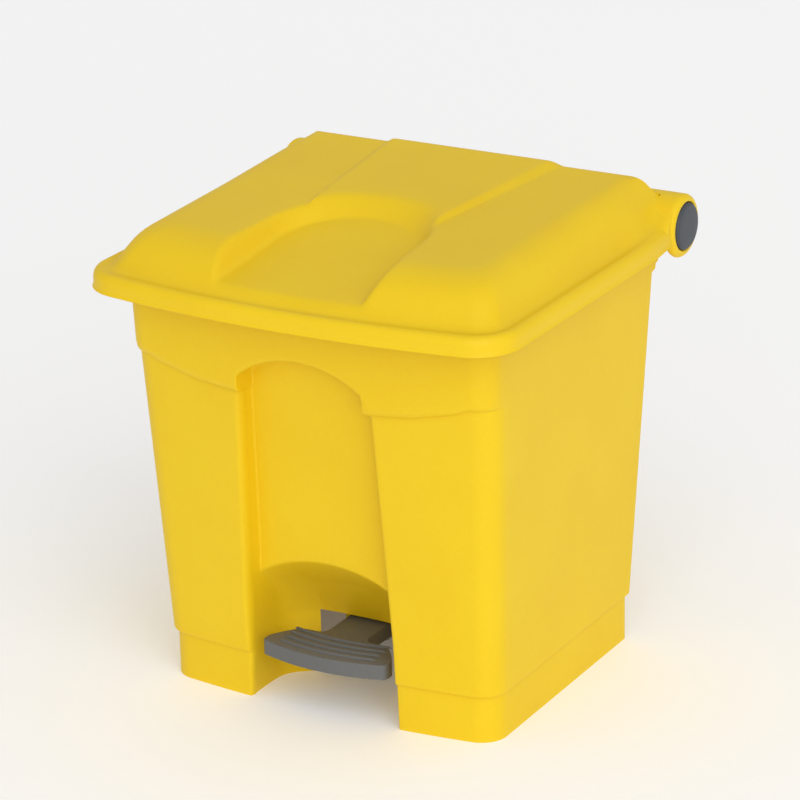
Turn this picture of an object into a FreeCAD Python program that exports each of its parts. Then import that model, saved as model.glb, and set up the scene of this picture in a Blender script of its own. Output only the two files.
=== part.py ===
import FreeCAD, Part
import os
import re
import Sketcher

# Pedal bin of about 30 litres: one drafted body moulding, a domed lid on a full-width rear hinge,
# and a treadle whose lever lifts the lid through a rod that runs up the rear wall.
# Frame: millimetres, +Z up, origin on the floor under the middle of the bin, pedal side at -Y.

SIZES = [
    # body moulding
    ("wall", 3.0),                 # moulded wall of body and lid
    ("skirt_half_width", 163.5),   # at the floor
    ("skirt_front", 135.5),        # middle of the bowed front, ahead of the origin
    ("skirt_rear", 129.0),
    ("skirt_height", 42.4),
    ("skirt_step", 2.9),           # the upper body stands out over the skirt by this
    ("side_slope", 0.038),         # draft of the walls, as outward run per rise
    ("front_slope", 0.0657),
    ("rear_slope", 0.067),
    ("front_bow", 13.0),           # rise of the front's bow over the full width
    ("front_corner", 24.0),
    ("rear_corner", 4.0),
    ("rim_top", 384.0),
    ("floor_level", 80.0),         # underside of the bin's floor
    # apron over the pedal recess
    ("apron_drop", 89.0),          # its lower edge at the recess, below the rim
    ("apron_lift", 18.0),          # how much higher the lower edge is at the side walls
    ("apron_proud", 7.0),
    ("apron_slope", 0.023),
    # recess between the front columns
    ("column_foot", 88.9),         # width of a column at the floor
    ("column_top", 100.5),         # the same where the arch springs, from the skirt
    ("arch_spring_drop", 75.0),    # below the rim
    ("arch_top_drop", 50.0),
    ("panel_top_proud", 1.5),      # the recess panel at the arch, ahead of the skirt
    ("panel_foot_in", 14.5),       # and behind it at the top of the pedal niche
    ("niche_spring", 120.0),
    ("niche_top", 139.0),
    ("niche_depth", 73.5),         # rear wall of the pedal niche behind the skirt
    ("arm_hole_side", 31.6),       # inside the recess
    ("arm_hole_top", 63.0),
    # rear rail, rod channel and its cover
    ("rail_height", 11.0),         # rail under the rim, level with the barrel's underside
    ("rail_over_barrel", 0.4),
    ("rail_proud", 4.0),
    ("rail_lip", 4.0),
    ("channel_half", 12.0),
    ("cover_half", 15.8),
    ("cover_plate", 2.0),
    ("cover_gap", 0.2),
    ("cover_drop", 40.0),
    ("clip_depth", 6.0),
    # lid
    ("lid_overhang", 23.62),       # lid beyond the body at the rim
    ("lid_front_overhang", 38.16),
    ("lid_bow", 19.8),
    ("lid_corner", 40.0),
    ("lid_lap", 10.0),             # the lid's lower edge below the rim
    ("lid_skirt", 17.0),           # height of the lid's skirt
    ("lid_ledge", 10.0),           # flat ledge between skirt and dome
    ("dome_side_run", 43.0),       # slope of the dome inside the lid's outline
    ("dome_front_run", 59.0),
    ("dome_rear_run", 22.5),       # ahead of the hinge
    ("dome_rise", 42.7),           # dome top over the rim, at the origin
    ("dome_pitch", 2.35),          # degrees, the top rises to the rear
    ("dome_corner", 22.0),
    ("strip_front_side", 102.0),   # dome beside the strip
    ("strip_rear_side", 82.0),
    ("strip_front", 30.0),
    ("strip_proud", 3.5),
    ("panel_side", 87.0),          # dome beside the arched sunk panel
    ("panel_apex", 18.0),
    ("panel_rise", 35.5),          # its plane over the rim, at the origin
    ("panel_pitch", 7.1),
    ("rim_gap", 2.5),              # rim flange to lid skirt
    ("rim_thick", 3.0),
    ("seat_gap", 0.3),             # lid buffers to rim
    ("buffer_radius", 4.0),
    ("buffer_side", 50.0),
    ("buffer_y", 60.0),
    ("slot_level", 5.0),             # top of the barrel's slots, under the hinge axis
    # hinge
    ("hinge_behind", 15.71),       # hinge axis behind the rear wall at the rim
    ("hinge_over_rim", 1.0),
    ("barrel_radius", 28.4),
    ("hinge_rod_radius", 4.0),
    ("hinge_rod_short", 25.0),     # rod shorter than the barrel at each end
    ("running_gap", 0.06),         # radial, shaft in bush
    ("fixed_gap", 0.05),           # radial, shaft held in a moulding or a lever
    ("ear_inset", 63.0),           # inner face of the body's hinge ears, from the barrel's end
    ("ear_thick", 10.0),
    ("ear_radius", 11.0),
    ("ear_slot_gap", 3.0),
    ("bush_radius", 7.0),
    ("bush_flange_radius", 10.0),
    ("bush_flange", 2.5),
    ("bush_side_gap", 0.5),
    ("web_thick", 6.0),
    ("cap_radius", 21.5),
    ("cap_gap", 0.15),
    ("cap_proud", 2.0),
    ("cap_depth", 9.0),
    ("cap_wall", 2.5),
    # crank on the lid and the lift rod
    ("crank_reach", 19.7),         # crank pin ahead of the hinge
    ("crank_drop", 13.8),          # and below it
    ("crank_half", 7.5),
    ("crank_slot_half", 3.1),
    ("crank_pad", 20.0),           # top of the crank over the hinge
    ("crank_pad_half", 16.5),
    ("crank_pad_thick", 4.0),
    ("pin_radius", 2.5),
    ("pin_half", 9.5),
    ("pin_head", 3.8),
    ("pin_head_thick", 1.6),
    ("rod_radius", 2.5),
    ("rod_eye_half", 2.5),
    ("rod_eye_wall", 3.4),
    ("slot_run", 4.65),            # how far the crank pin wanders in the rod's top eye
    ("slot_rise", 0.84),
    ("slot_gap", 0.3),
    ("rod_inset", 6.0),            # rod under the cover's outer face, at the bend
    ("bend_drop", 46.0),           # foot of the rod's bend below the rim
    ("bend_top_drop", 24.0),
    # pedal
    ("axle_y", 8.0),
    ("axle_z", 32.0),
    ("axle_radius", 5.0),
    ("axle_half", 56.0),
    ("hub_radius", 9.0),
    ("hub_half", 40.0),
    ("lug_gap", 1.0),              # lever hub to bush flange
    ("lug_thick", 7.0),
    ("lug_half", 16.0),
    ("axle_bush_radius", 8.0),
    ("clip_thick", 1.5),
    ("clip_radius", 8.5),
    ("rod_inboard", 12.0),         # rod's lower pin inside the rear of the skirt
    ("lever_half", 14.0),
    ("lever_thick", 4.0),
    ("lever_front_in", 20.0),      # lever behind the treadle's front
    ("lever_joggle_in", 68.0),
    ("lever_joggle_end", 98.0),
    ("lever_level", 46.0),         # underside of the lever in the treadle
    ("lever_tail_drop", 10.0),     # the rest of the lever runs this much lower
    ("treadle_side_gap", 12.6),    # treadle to the columns
    ("treadle_proud", 6.5),        # treadle ahead of the skirt
    ("treadle_bow", 11.0),
    ("treadle_side_run", 24.0),    # behind the treadle's front
    ("treadle_depth", 48.0),
    ("treadle_chamfer", 15.0),
    ("treadle_top", 56.0),
    ("treadle_foot", 43.0),
    ("treadle_skin", 4.0),
    ("treadle_wall", 2.5),
    ("neck_half", 20.0),
    ("neck_end", 102.0),
    ("ridge_height", 1.2),
    ("ridge_half", 48.0),
    ("ridge_width", 2.2),
    ("ridge_pitch", 9.0),
    ("screw_radius", 2.0),
    ("screw_head", 4.0),
    ("screw_length", 8.0),
]

# Sizes worked out from the others, so that a change to one carries its neighbours along.
DERIVED = {
    "panel_top_front": "skirt_front + panel_top_proud",
    "panel_foot_front": "skirt_front - panel_foot_in",
    "niche_rear_front": "skirt_front - niche_depth",
    "apron_level": "rim_top - apron_drop",
    "recess_half_foot": "skirt_half_width - column_foot",
    "recess_half_top": "skirt_half_width - column_top",
    "arch_spring": "rim_top - arch_spring_drop",
    "arch_top": "rim_top - arch_top_drop",
    "arm_hole_half": "recess_half_foot - arm_hole_side",
    "rail_top": "hinge_z - barrel_radius + rail_over_barrel",
    "rail_level": "rail_top - rail_height",
    "cover_top": "rim_top - cover_drop",
    "bend_level": "rim_top - bend_drop",
    "bend_top": "rim_top - bend_top_drop",
    "lid_half_width": "skirt_half_width + skirt_step + (rim_top - skirt_height) * side_slope"
        " + lid_overhang",
    "lid_front": "skirt_front + skirt_step + (rim_top - skirt_height) * front_slope + lid_front_overhang",
    "lid_level": "rim_top - lid_lap",
    "dome_half_width": "lid_half_width - dome_side_run",
    "dome_front": "lid_front - dome_front_run",
    "dome_rear": "hinge_y - dome_rear_run",
    "dome_level": "rim_top + dome_rise",
    "strip_front_half": "dome_half_width - strip_front_side",
    "strip_rear_half": "dome_half_width - strip_rear_side",
    "panel_half": "dome_half_width - panel_side",
    "panel_level": "rim_top + panel_rise",
    "buffer_x": "dome_half_width - buffer_side",
    "hinge_y": "skirt_rear + skirt_step + (rim_top - skirt_height) * rear_slope + hinge_behind",
    "hinge_z": "rim_top + hinge_over_rim",
    "hinge_rod_half": "lid_half_width - hinge_rod_short",
    "ear_x": "lid_half_width - ear_inset",
    "lift_arm": "skirt_rear - rod_inboard - axle_y",
    "lever_front": "treadle_front - lever_front_in",
    "lever_joggle_front": "treadle_front - lever_joggle_in",
    "lever_joggle_rear": "treadle_front - lever_joggle_end",
    "treadle_half": "recess_half_foot - treadle_side_gap",
    "treadle_front": "skirt_front + treadle_proud",
    "treadle_side_front": "treadle_front - treadle_bow",
    "treadle_side_rear": "treadle_front - treadle_side_run",
    "treadle_rear": "treadle_front - treadle_depth",
    "neck_rear": "treadle_front - neck_end",
}

doc = FreeCAD.newDocument("PedalBin")
sheet = doc.addObject("Spreadsheet::Sheet", "Sizes")
for row, (alias, value) in enumerate(SIZES, start=1):
    sheet.set("A%d" % row, alias)
    sheet.set("B%d" % row, str(value))
    sheet.setAlias("B%d" % row, alias)
doc.recompute()
ALIASES = {alias for alias, value in SIZES}


def expand(text):
    """Turn bare size names into references to the sheet, and derived names into their own terms."""
    def swap(match):
        name = match.group()
        if name in DERIVED:
            return "(" + expand(DERIVED[name]) + ")"
        return "Sizes." + name if name in ALIASES else name

    return re.sub(r"[a-z_][a-z0-9_]*", swap, str(text))


def size(text):
    """Present value of an expression in the sheet's names."""
    return float(sheet.evalExpression(expand(text)))


def bind(obj, **properties):
    """Bind properties to expressions; a double underscore stands for a dot."""
    for name, text in properties.items():
        obj.setExpression(name.replace("__", "."), expand(text))


def new_body(name):
    body = doc.addObject("PartDesign::Body", name)
    body.Label = name
    return body


def new_sketch(body, role, offset="0", pitch="0"):
    """Empty sketch on an origin plane of its own body, moved off it along the plane's normal."""
    sketch = body.newObject("Sketcher::SketchObject", body.Name + "_sketch")
    plane = [f for f in body.Origin.OriginFeatures if f.Role == role][0]
    sketch.AttachmentSupport = [(plane, "")]
    sketch.MapMode = "FlatFace"
    if pitch != "0":
        angle = size(pitch)
        sketch.AttachmentOffset = FreeCAD.Placement(
            FreeCAD.Vector(0, 0, 0), FreeCAD.Rotation(FreeCAD.Vector(1, 0, 0), angle))
        sketch.setExpression("AttachmentOffset.Rotation.Angle", expand(pitch))
    bind(sketch, AttachmentOffset__Base__z=offset)
    return sketch


def outline(sketch, points, arcs=None):
    """Closed outline through named points; arcs maps an edge's number to a point on it."""
    arcs = arcs or {}
    count = len(points)
    place = [FreeCAD.Vector(size(px), size(py), 0) for px, py in points]
    for i in range(count):
        start, end = place[i], place[(i + 1) % count]
        if i in arcs:
            middle = FreeCAD.Vector(size(arcs[i][0]), size(arcs[i][1]), 0)
            sketch.addGeometry(Part.Arc(start, middle, end))
        else:
            sketch.addGeometry(Part.LineSegment(start, end))
    # an arc's own first point is its anticlockwise start, so find which end is which
    ends = []
    for i in range(count):
        first = sketch.getPoint(i, 1)
        forward = (first - place[i]).Length < (first - place[(i + 1) % count]).Length
        ends.append((1, 2) if forward else (2, 1))
    for i in range(count):
        after = (i + 1) % count
        sketch.addConstraint(Sketcher.Constraint("Coincident", i, ends[i][1], after, ends[after][0]))
    for i, (px, py) in enumerate(points):
        pin_point(sketch, i, ends[i][0], px, py, "p%d" % i)
    for i, (px, py) in arcs.items():
        middle = sketch.addGeometry(Part.Point(FreeCAD.Vector(size(px), size(py), 0)), True)
        pin_point(sketch, middle, 1, px, py, "a%d" % i)
        sketch.addConstraint(Sketcher.Constraint("PointOnObject", middle, 1, i))


def pin_point(sketch, geometry, end, px, py, name):
    """Hold one point of a sketch at named distances from the sketch's origin."""
    for kind, text in (("DistanceX", px), ("DistanceY", py)):
        number = sketch.addConstraint(
            Sketcher.Constraint(kind, -1, 1, geometry, end, size(text)))
        label = name + kind[-1]
        sketch.renameConstraint(number, label)
        sketch.setExpression("Constraints." + label, expand(text))


def circle(sketch, px, py, radius, name="ring"):
    number = sketch.addGeometry(
        Part.Circle(FreeCAD.Vector(size(px), size(py), 0), FreeCAD.Vector(0, 0, 1), size(radius)))
    pin_point(sketch, number, 3, px, py, name)
    constraint = sketch.addConstraint(Sketcher.Constraint("Radius", number, size(radius)))
    sketch.renameConstraint(constraint, name + "_radius")
    sketch.setExpression("Constraints." + name + "_radius", expand(radius))


def plan(sketch, half, front, rear, bow, corner):
    """Plan outline: straight rear and sides, bowed front, round front corners."""
    half_, front_, rear_, bow_, corner_ = [size(t) for t in (half, front, rear, bow, corner)]
    radius = (half_ ** 2 + bow_ ** 2) / (2 * bow_)
    centre = radius - front_
    corner_x = half_ - corner_
    corner_y = centre - ((radius - corner_) ** 2 - corner_x ** 2) ** 0.5
    reach = radius / (radius - corner_)
    touch_x = corner_x * reach
    touch_y = centre + (corner_y - centre) * reach
    vec = FreeCAD.Vector
    mid_x = corner_x + corner_ * 0.8
    mid_y = corner_y - corner_ * 0.6
    sketch.addGeometry(Part.LineSegment(vec(-half_, rear_, 0), vec(half_, rear_, 0)))
    sketch.addGeometry(Part.LineSegment(vec(half_, rear_, 0), vec(half_, corner_y, 0)))
    sketch.addGeometry(Part.Arc(vec(touch_x, touch_y, 0), vec(mid_x, mid_y, 0), vec(half_, corner_y, 0)))
    sketch.addGeometry(Part.Arc(vec(-touch_x, touch_y, 0), vec(0, -front_, 0), vec(touch_x, touch_y, 0)))
    sketch.addGeometry(Part.Arc(vec(-half_, corner_y, 0), vec(-mid_x, mid_y, 0), vec(-touch_x, touch_y, 0)))
    sketch.addGeometry(Part.LineSegment(vec(-half_, corner_y, 0), vec(-half_, rear_, 0)))
    con = Sketcher.Constraint
    sketch.addConstraint([
        con("Coincident", 0, 2, 1, 1), con("Tangent", 1, 2, 2, 2), con("Tangent", 2, 1, 3, 2),
        con("Tangent", 3, 1, 4, 2), con("Tangent", 4, 1, 5, 1), con("Coincident", 5, 2, 0, 1),
        con("Horizontal", 0), con("Vertical", 1), con("Vertical", 5), con("Equal", 2, 4)])
    pin_point(sketch, 0, 1, "-(%s)" % half, rear, "rear_left")
    for label, constraint, text in (
            ("rear_right", con("DistanceX", -1, 1, 0, 2, half_), half),
            ("corner", con("Radius", 2, corner_), corner),
            ("bow_centre_x", con("DistanceX", -1, 1, 3, 3, 0.0), "0"),
            ("bow_centre", con("DistanceY", -1, 1, 3, 3, centre),
             "((%s)^2 + (%s)^2) / (2 * (%s)) - (%s)" % (half, bow, bow, front)),
            ("bow_radius", con("Radius", 3, radius),
             "((%s)^2 + (%s)^2) / (2 * (%s))" % (half, bow, bow))):
        number = sketch.addConstraint(constraint)
        sketch.renameConstraint(number, label)
        sketch.setExpression("Constraints." + label, expand(text))


def loft(name, lower, upper):
    """Solid between two plan outlines, each given as (level, half, front, rear, bow, corner)."""
    body = new_body(name)
    sketches = []
    for section in (lower, upper):
        level, shape = section[0], section[1:6]
        pitch = section[6] if len(section) > 6 else "0"
        sketch = new_sketch(body, "XY_Plane", level, pitch)
        plan(sketch, *shape)
        sketches.append(sketch)
    feature = body.newObject("PartDesign::AdditiveLoft", name + "_loft")
    feature.Profile = sketches[0]
    feature.Sections = [sketches[1]]
    feature.Ruled = True
    return body


def pad(name, role, points, length, arcs=None, offset="0", midplane=False, pitch="0"):
    """Solid pushed out of an outline on an origin plane, along the plane's normal."""
    body = new_body(name)
    sketch = new_sketch(body, role, offset, pitch)
    outline(sketch, points, arcs)
    push(body, sketch, length, midplane)
    return body


def push(body, sketch, length, midplane=False):
    feature = body.newObject("PartDesign::Pad", body.Name + "_pad")
    feature.Profile = sketch
    feature.Midplane = midplane
    bind(feature, Length=length)
    return feature


def block(name, low, high):
    """Box between two corners, each given as three expressions."""
    box = doc.addObject("Part::Box", name)
    bind(box, Length="(%s) - (%s)" % (high[0], low[0]), Width="(%s) - (%s)" % (high[1], low[1]),
         Height="(%s) - (%s)" % (high[2], low[2]), Placement__Base__x=low[0],
         Placement__Base__y=low[1], Placement__Base__z=low[2])
    return box


def round_bar(name, radius, start, y, z, end):
    """Cylinder along X from start to end."""
    bar = doc.addObject("Part::Cylinder", name)
    bar.Placement.Rotation = FreeCAD.Rotation(FreeCAD.Vector(0, 1, 0), 90)
    bind(bar, Radius=radius, Height="(%s) - (%s)" % (end, start), Placement__Base__x=start,
         Placement__Base__y=y, Placement__Base__z=z)
    return bar


def stud(name, radius, x, y, bottom, top):
    """Cylinder along Z from bottom to top."""
    bar = doc.addObject("Part::Cylinder", name)
    bind(bar, Radius=radius, Height="(%s) - (%s)" % (top, bottom), Placement__Base__x=x,
         Placement__Base__y=y, Placement__Base__z=bottom)
    return bar


def join(name, *pieces):
    fused = doc.addObject("Part::MultiFuse", name)
    fused.Shapes = list(pieces)
    fused.Label = name
    return fused


def meet(name, *pieces):
    common = doc.addObject("Part::MultiCommon", name)
    common.Shapes = list(pieces)
    common.Label = name
    return common


def remove(name, base, *tools):
    result = doc.addObject("Part::Cut", name)
    result.Base = base
    result.Tool = tools[0] if len(tools) == 1 else join(name + "_tools", *tools)
    result.Label = name
    return result


def group(name, *pieces):
    """Several identical separate pieces kept in one node."""
    compound = doc.addObject("Part::Compound", name)
    compound.Links = list(pieces)
    compound.Label = name
    return compound


# ---------------------------------------------------------------- body moulding

def body_section(level, inset="0"):
    """Outline of the upper body at a level, moved inward by inset."""
    rise = "(%s - skirt_height)" % level
    return (level,
            "skirt_half_width + skirt_step + %s * side_slope - (%s)" % (rise, inset),
            "skirt_front + skirt_step + %s * front_slope - (%s)" % (rise, inset),
            "skirt_rear + skirt_step + %s * rear_slope - (%s)" % (rise, inset),
            "front_bow", "front_corner - (%s)" % inset)


def apron_section(level, inset="0"):
    """Outline of the apron: flush with the side walls, proud of the columns."""
    rise = "(%s - skirt_height)" % level
    return (level,
            "skirt_half_width + skirt_step + %s * side_slope - (%s)" % (rise, inset),
            "skirt_front + skirt_step + (apron_level - skirt_height) * front_slope + apron_proud"
            " + (%s - apron_level) * apron_slope - (%s)" % (level, inset),
            "-60", "front_bow", "front_corner - (%s)" % inset)


def skirt_section(level, inset="0"):
    return (level, "skirt_half_width - (%s)" % inset, "skirt_front - (%s)" % inset,
            "skirt_rear - (%s)" % inset, "front_bow", "front_corner - (%s)" % inset)


def recess(name, grow):
    """Space between the front columns: an arch seen from the front, closed by the sloping panel."""
    half_foot = "recess_half_foot + %s" % grow
    half_top = "recess_half_top + %s" % grow
    arch = pad(name + "_arch", "XZ_Plane",
               [("-(%s)" % half_foot, "-5"), (half_foot, "-5"), (half_top, "arch_spring"),
                ("-(%s)" % half_top, "arch_spring")],
               "260", {2: ("0", "arch_top + %s" % grow)})
    side = pad(name + "_side", "YZ_Plane",
               [("-250", "-6"), ("-(niche_rear_front) + %s" % grow, "-6"),
                ("-(niche_rear_front) + %s" % grow, "arm_hole_top - 4"),
                ("-(panel_foot_front) + %s" % grow, "niche_top"),
                ("-(panel_top_front) + %s" % grow, "arch_spring"),
                ("-(panel_top_front + 2) + %s" % grow, "arch_top + 10"), ("-250", "arch_top + 10")],
               "200", {2: ("-(niche_rear_front + 16) + %s" % grow, "niche_spring - 18")},
               midplane=True)
    return meet(name, arch, side)


def rear_y(level):
    """Outer face of the rear wall at a level."""
    return "skirt_rear + skirt_step + (%s - skirt_height) * rear_slope" % level


ROD_FOOT_Y = "axle_y + lift_arm"
ROD_BEND_Y = rear_y("bend_level") + " - rod_inset"
CRANK_Y = "hinge_y - crank_reach"
CRANK_Z = "hinge_z - crank_drop"


def channel(name, grow, foot, top):
    """Channel for the lift rod, up the inside of the rear wall; grow adds its own walls."""
    half = "channel_half + %s" % grow
    return pad(name, "YZ_Plane",
               [("axle_y + lift_arm - 6 - %s" % grow, foot),
                (rear_y(foot) + " - cover_plate", foot),
                (rear_y("rail_level") + " - cover_plate", "rail_level - 1"),
                (rear_y("rail_level") + " + rail_proud - cover_plate", "rail_level - 1"),
                (rear_y("rail_level") + " + rail_proud - cover_plate", top),
                (ROD_BEND_Y + " - 4 - slot_run - %s" % grow, top)],
               "2 * (%s)" % half, midplane=True)


skirt = loft("skirt", skirt_section("0"), skirt_section("skirt_height"))
upper = loft("upper", body_section("skirt_height"), body_section("rim_top"))
apron_block = loft("apron_block", apron_section("apron_level - 5"), apron_section("rim_top"))
apron_face = pad("apron_face", "XZ_Plane",
                 [("-260", "apron_level + apron_lift"), ("-recess_half_top - 36", "apron_level + 3"),
                  ("-recess_half_top", "apron_level"), ("recess_half_top", "apron_level"),
                  ("recess_half_top + 36", "apron_level + 3"), ("260", "apron_level + apron_lift"),
                  ("260", "rim_top"), ("-260", "rim_top")], "260")
apron = meet("apron", apron_block, apron_face)
rim = loft("rim", ("rim_top - rim_thick", "lid_half_width - wall - rim_gap", "lid_front - wall - rim_gap",
                   "dome_rear - 6", "lid_bow", "lid_corner - wall - rim_gap"),
           ("rim_top", "lid_half_width - wall - rim_gap", "lid_front - wall - rim_gap",
            "dome_rear - 6", "lid_bow", "lid_corner - wall - rim_gap"))
rear_clear = block("rear_clear", ("-300", "hinge_y - barrel_radius - 3", "rail_top"),
                   ("300", "300", "rim_top + 1"))
solid_body = join("solid_body", skirt, upper, apron, rim)
solid_open = remove("solid_open", solid_body, rear_clear)

rail = block("rail", ("-(skirt_half_width + skirt_step + (rail_level - skirt_height) * side_slope)",
                      rear_y("rail_level") + " - wall", "rail_level"),
             ("skirt_half_width + skirt_step + (rail_level - skirt_height) * side_slope",
              rear_y("rail_level") + " + rail_proud", "rail_top"))
rail_edge = block("rail_edge", ("-(skirt_half_width + skirt_step + (rail_level - skirt_height) * side_slope)",
                                rear_y("rail_level") + " - wall", "(rail_level + rail_top) / 2"),
                  ("skirt_half_width + skirt_step + (rail_level - skirt_height) * side_slope",
                   rear_y("rail_level") + " + rail_proud + rail_lip", "rail_top"))

hollow = loft("hollow", body_section("floor_level + wall", "wall"), body_section("rim_top + 2", "wall"))
apron_hollow = loft("apron_hollow", apron_section("apron_level + apron_lift + 4", "wall"),
                    apron_section("rim_top + 2", "wall"))
under = loft("under", skirt_section("-1", "wall"), skirt_section("floor_level", "wall"))
recess_cut = recess("recess", "0")
recess_wall = recess("recess_wall", "wall")
channel_cut = channel("channel", "0", "(floor_level - 1)", "rim_top + 5")
channel_wall = channel("channel_wall", "wall + 1", "floor_level", "rail_top")
inside = remove("inside", join("inside_space", hollow, apron_hollow, under), recess_wall, channel_wall)
cover_seat = pad("cover_seat", "YZ_Plane",
                 [(rear_y("floor_level") + " - cover_plate", "floor_level"),
                  (rear_y("floor_level") + " + 5", "floor_level"),
                  (rear_y("cover_top") + " + 5", "cover_top"),
                  (rear_y("cover_top") + " - cover_plate", "cover_top")],
                 "2 * (cover_half + cover_gap)", midplane=True)
arm_hole = block("arm_hole", ("-arm_hole_half", "-niche_rear_front - 12", "-1"),
                 ("arm_hole_half", "-niche_rear_front + 30", "arm_hole_top"))
moulding = remove("moulding", join("moulding_solid", solid_open, rail, rail_edge), inside, recess_cut,
                  channel_cut, cover_seat, arm_hole)


def hinge_ear(name, side):
    """Ear that stands up from the rear wall into the lid's barrel and holds the hinge rod."""
    start = "ear_x" if side > 0 else "-ear_x - ear_thick"
    web = pad(name + "_web", "YZ_Plane",
              [(rear_y("rail_level") + " - wall", "rail_level - 40"),
               (rear_y("rail_level") + " + rail_proud", "rail_level"),
               (rear_y("rail_level") + " + rail_proud", "rail_top"),
               ("hinge_y + ear_radius * 0.9", "hinge_z - ear_radius * 0.43"),
               ("hinge_y - ear_radius * 0.9", "hinge_z + ear_radius * 0.43"),
               (rear_y("rail_level") + " - wall - 5", "rail_top")],
              "ear_thick", offset=start)
    ring = round_bar(name + "_ring", "ear_radius", start, "hinge_y", "hinge_z", start + " + ear_thick")
    return join(name, web, ring)


ears = [hinge_ear("ear_right", 1), hinge_ear("ear_left", -1)]
rod_bore = round_bar("rod_bore", "hinge_rod_radius + fixed_gap", "-hinge_rod_half - 5", "hinge_y", "hinge_z",
                     "hinge_rod_half + 5")
lugs = []
LUG_X = "hub_half + lug_gap + bush_flange"
for side, start in (("right", LUG_X), ("left", "-(%s) - lug_thick" % LUG_X)):
    lugs.append(block("lug_" + side, (start, "axle_y - lug_half", "axle_z - axle_bush_radius - 6"),
                      (start + " + lug_thick", "axle_y + lug_half", "floor_level + 1")))
lug_bore = round_bar("lug_bore", "axle_bush_radius", "-axle_half - 5", "axle_y", "axle_z", "axle_half + 5")
body_shell = remove("body_shell", join("body_solid", moulding, *ears, *lugs), rod_bore, lug_bore)

# ---------------------------------------------------------------- rear cover over the lift rod

cover_skin = pad("cover_skin", "YZ_Plane",
                 [(rear_y("floor_level") + " - cover_plate + cover_gap / 2", "floor_level + cover_gap"),
                  (rear_y("floor_level"), "floor_level + cover_gap"),
                  (rear_y("cover_top"), "cover_top - cover_gap"),
                  (rear_y("cover_top") + " - cover_plate + cover_gap / 2", "cover_top - cover_gap")],
                 "2 * cover_half", midplane=True)
cover_clips = []
for number, level in enumerate(("floor_level + 30", "(floor_level + cover_top) / 2", "cover_top - 30")):
    for side, low in (("right", "channel_half - 2"), ("left", "-channel_half + 0.3")):
        cover_clips.append(block(
            "cover_clip_%s_%d" % (side, number),
            (low, rear_y(level) + " - cover_plate - clip_depth", level),
            (low + " + 1.7", rear_y(level) + " - cover_plate / 2", level + " + 12")))
rear_cover = join("rear_cover", cover_skin, *cover_clips)

# ---------------------------------------------------------------- lid moulding

LEDGE_TOP = "lid_level + lid_skirt"


def flange_section(level, inset="0"):
    return (level, "lid_half_width - (%s)" % inset, "lid_front - (%s)" % inset,
            "hinge_y - 7", "lid_bow", "lid_corner - (%s)" % inset)


def dome_foot(level, inset="0"):
    return (level, "lid_half_width - lid_ledge - (%s)" % inset, "lid_front - lid_ledge - (%s)" % inset,
            "hinge_y - 4 - 2 * (%s)" % inset, "lid_bow", "lid_corner - lid_ledge - (%s)" % inset)


def dome_head(inset="0"):
    return ("dome_level - (%s)" % inset, "dome_half_width - (%s)" % inset, "dome_front - (%s)" % inset,
            "dome_rear - (%s)" % inset, "front_bow", "dome_corner - (%s)" % inset, "dome_pitch")


def sunk_panel(name, grow):
    """Arched panel let into the front of the dome, open towards the front."""
    half = "panel_half + %s" % grow
    return pad(name, "XY_Plane",
               [("-(%s)" % half, "-300"), (half, "-300"), (half, "-(panel_apex + panel_half)"),
                ("-(%s)" % half, "-(panel_apex + panel_half)")],
               "60", {2: ("0", "-(panel_apex) + %s" % grow)}, "panel_level - %s" % grow,
               pitch="panel_pitch")


flange = loft("flange", flange_section("lid_level"), flange_section(LEDGE_TOP))
dome = loft("dome", dome_foot(LEDGE_TOP + " - wall"), dome_head())
strip = pad("strip", "XY_Plane",
            [("-strip_front_half", "-strip_front"), ("strip_front_half", "-strip_front"),
             ("strip_rear_half", "dome_rear - 4"), ("-strip_rear_half", "dome_rear - 4")],
            "strip_proud + 1", offset="dome_level - 1", pitch="dome_pitch")
flange_hollow = loft("flange_hollow", flange_section("lid_level - 1", "wall"),
                     flange_section(LEDGE_TOP + " - wall", "wall"))
dome_hollow = loft("dome_hollow", dome_foot(LEDGE_TOP + " - 2 * wall", "wall"), dome_head("wall"))
lid_hollow = remove("lid_hollow", join("lid_space", flange_hollow, dome_hollow),
                    sunk_panel("panel_wall", "wall"))
canopy = remove("canopy", join("canopy_solid", flange, dome, strip), lid_hollow,
                sunk_panel("panel_cut", "0"))

barrel = round_bar("barrel", "barrel_radius", "-lid_half_width", "hinge_y", "hinge_z", "lid_half_width")
barrel_bore = round_bar("barrel_bore", "barrel_radius - wall", "-lid_half_width + wall + 1", "hinge_y",
                        "hinge_z", "lid_half_width - wall - 1")
cap_bore = round_bar("cap_bore", "cap_radius + cap_gap", "-lid_half_width - 1", "hinge_y", "hinge_z",
                     "lid_half_width + 1")


def barrel_slot(name, start, end):
    """Slot under the barrel, wide enough for what reaches into it from below."""
    return block(name, (start, "hinge_y - barrel_radius - 5", "hinge_z - barrel_radius - 3"),
                 (end, "hinge_y + barrel_radius + 5", "hinge_z - slot_level"))


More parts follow.
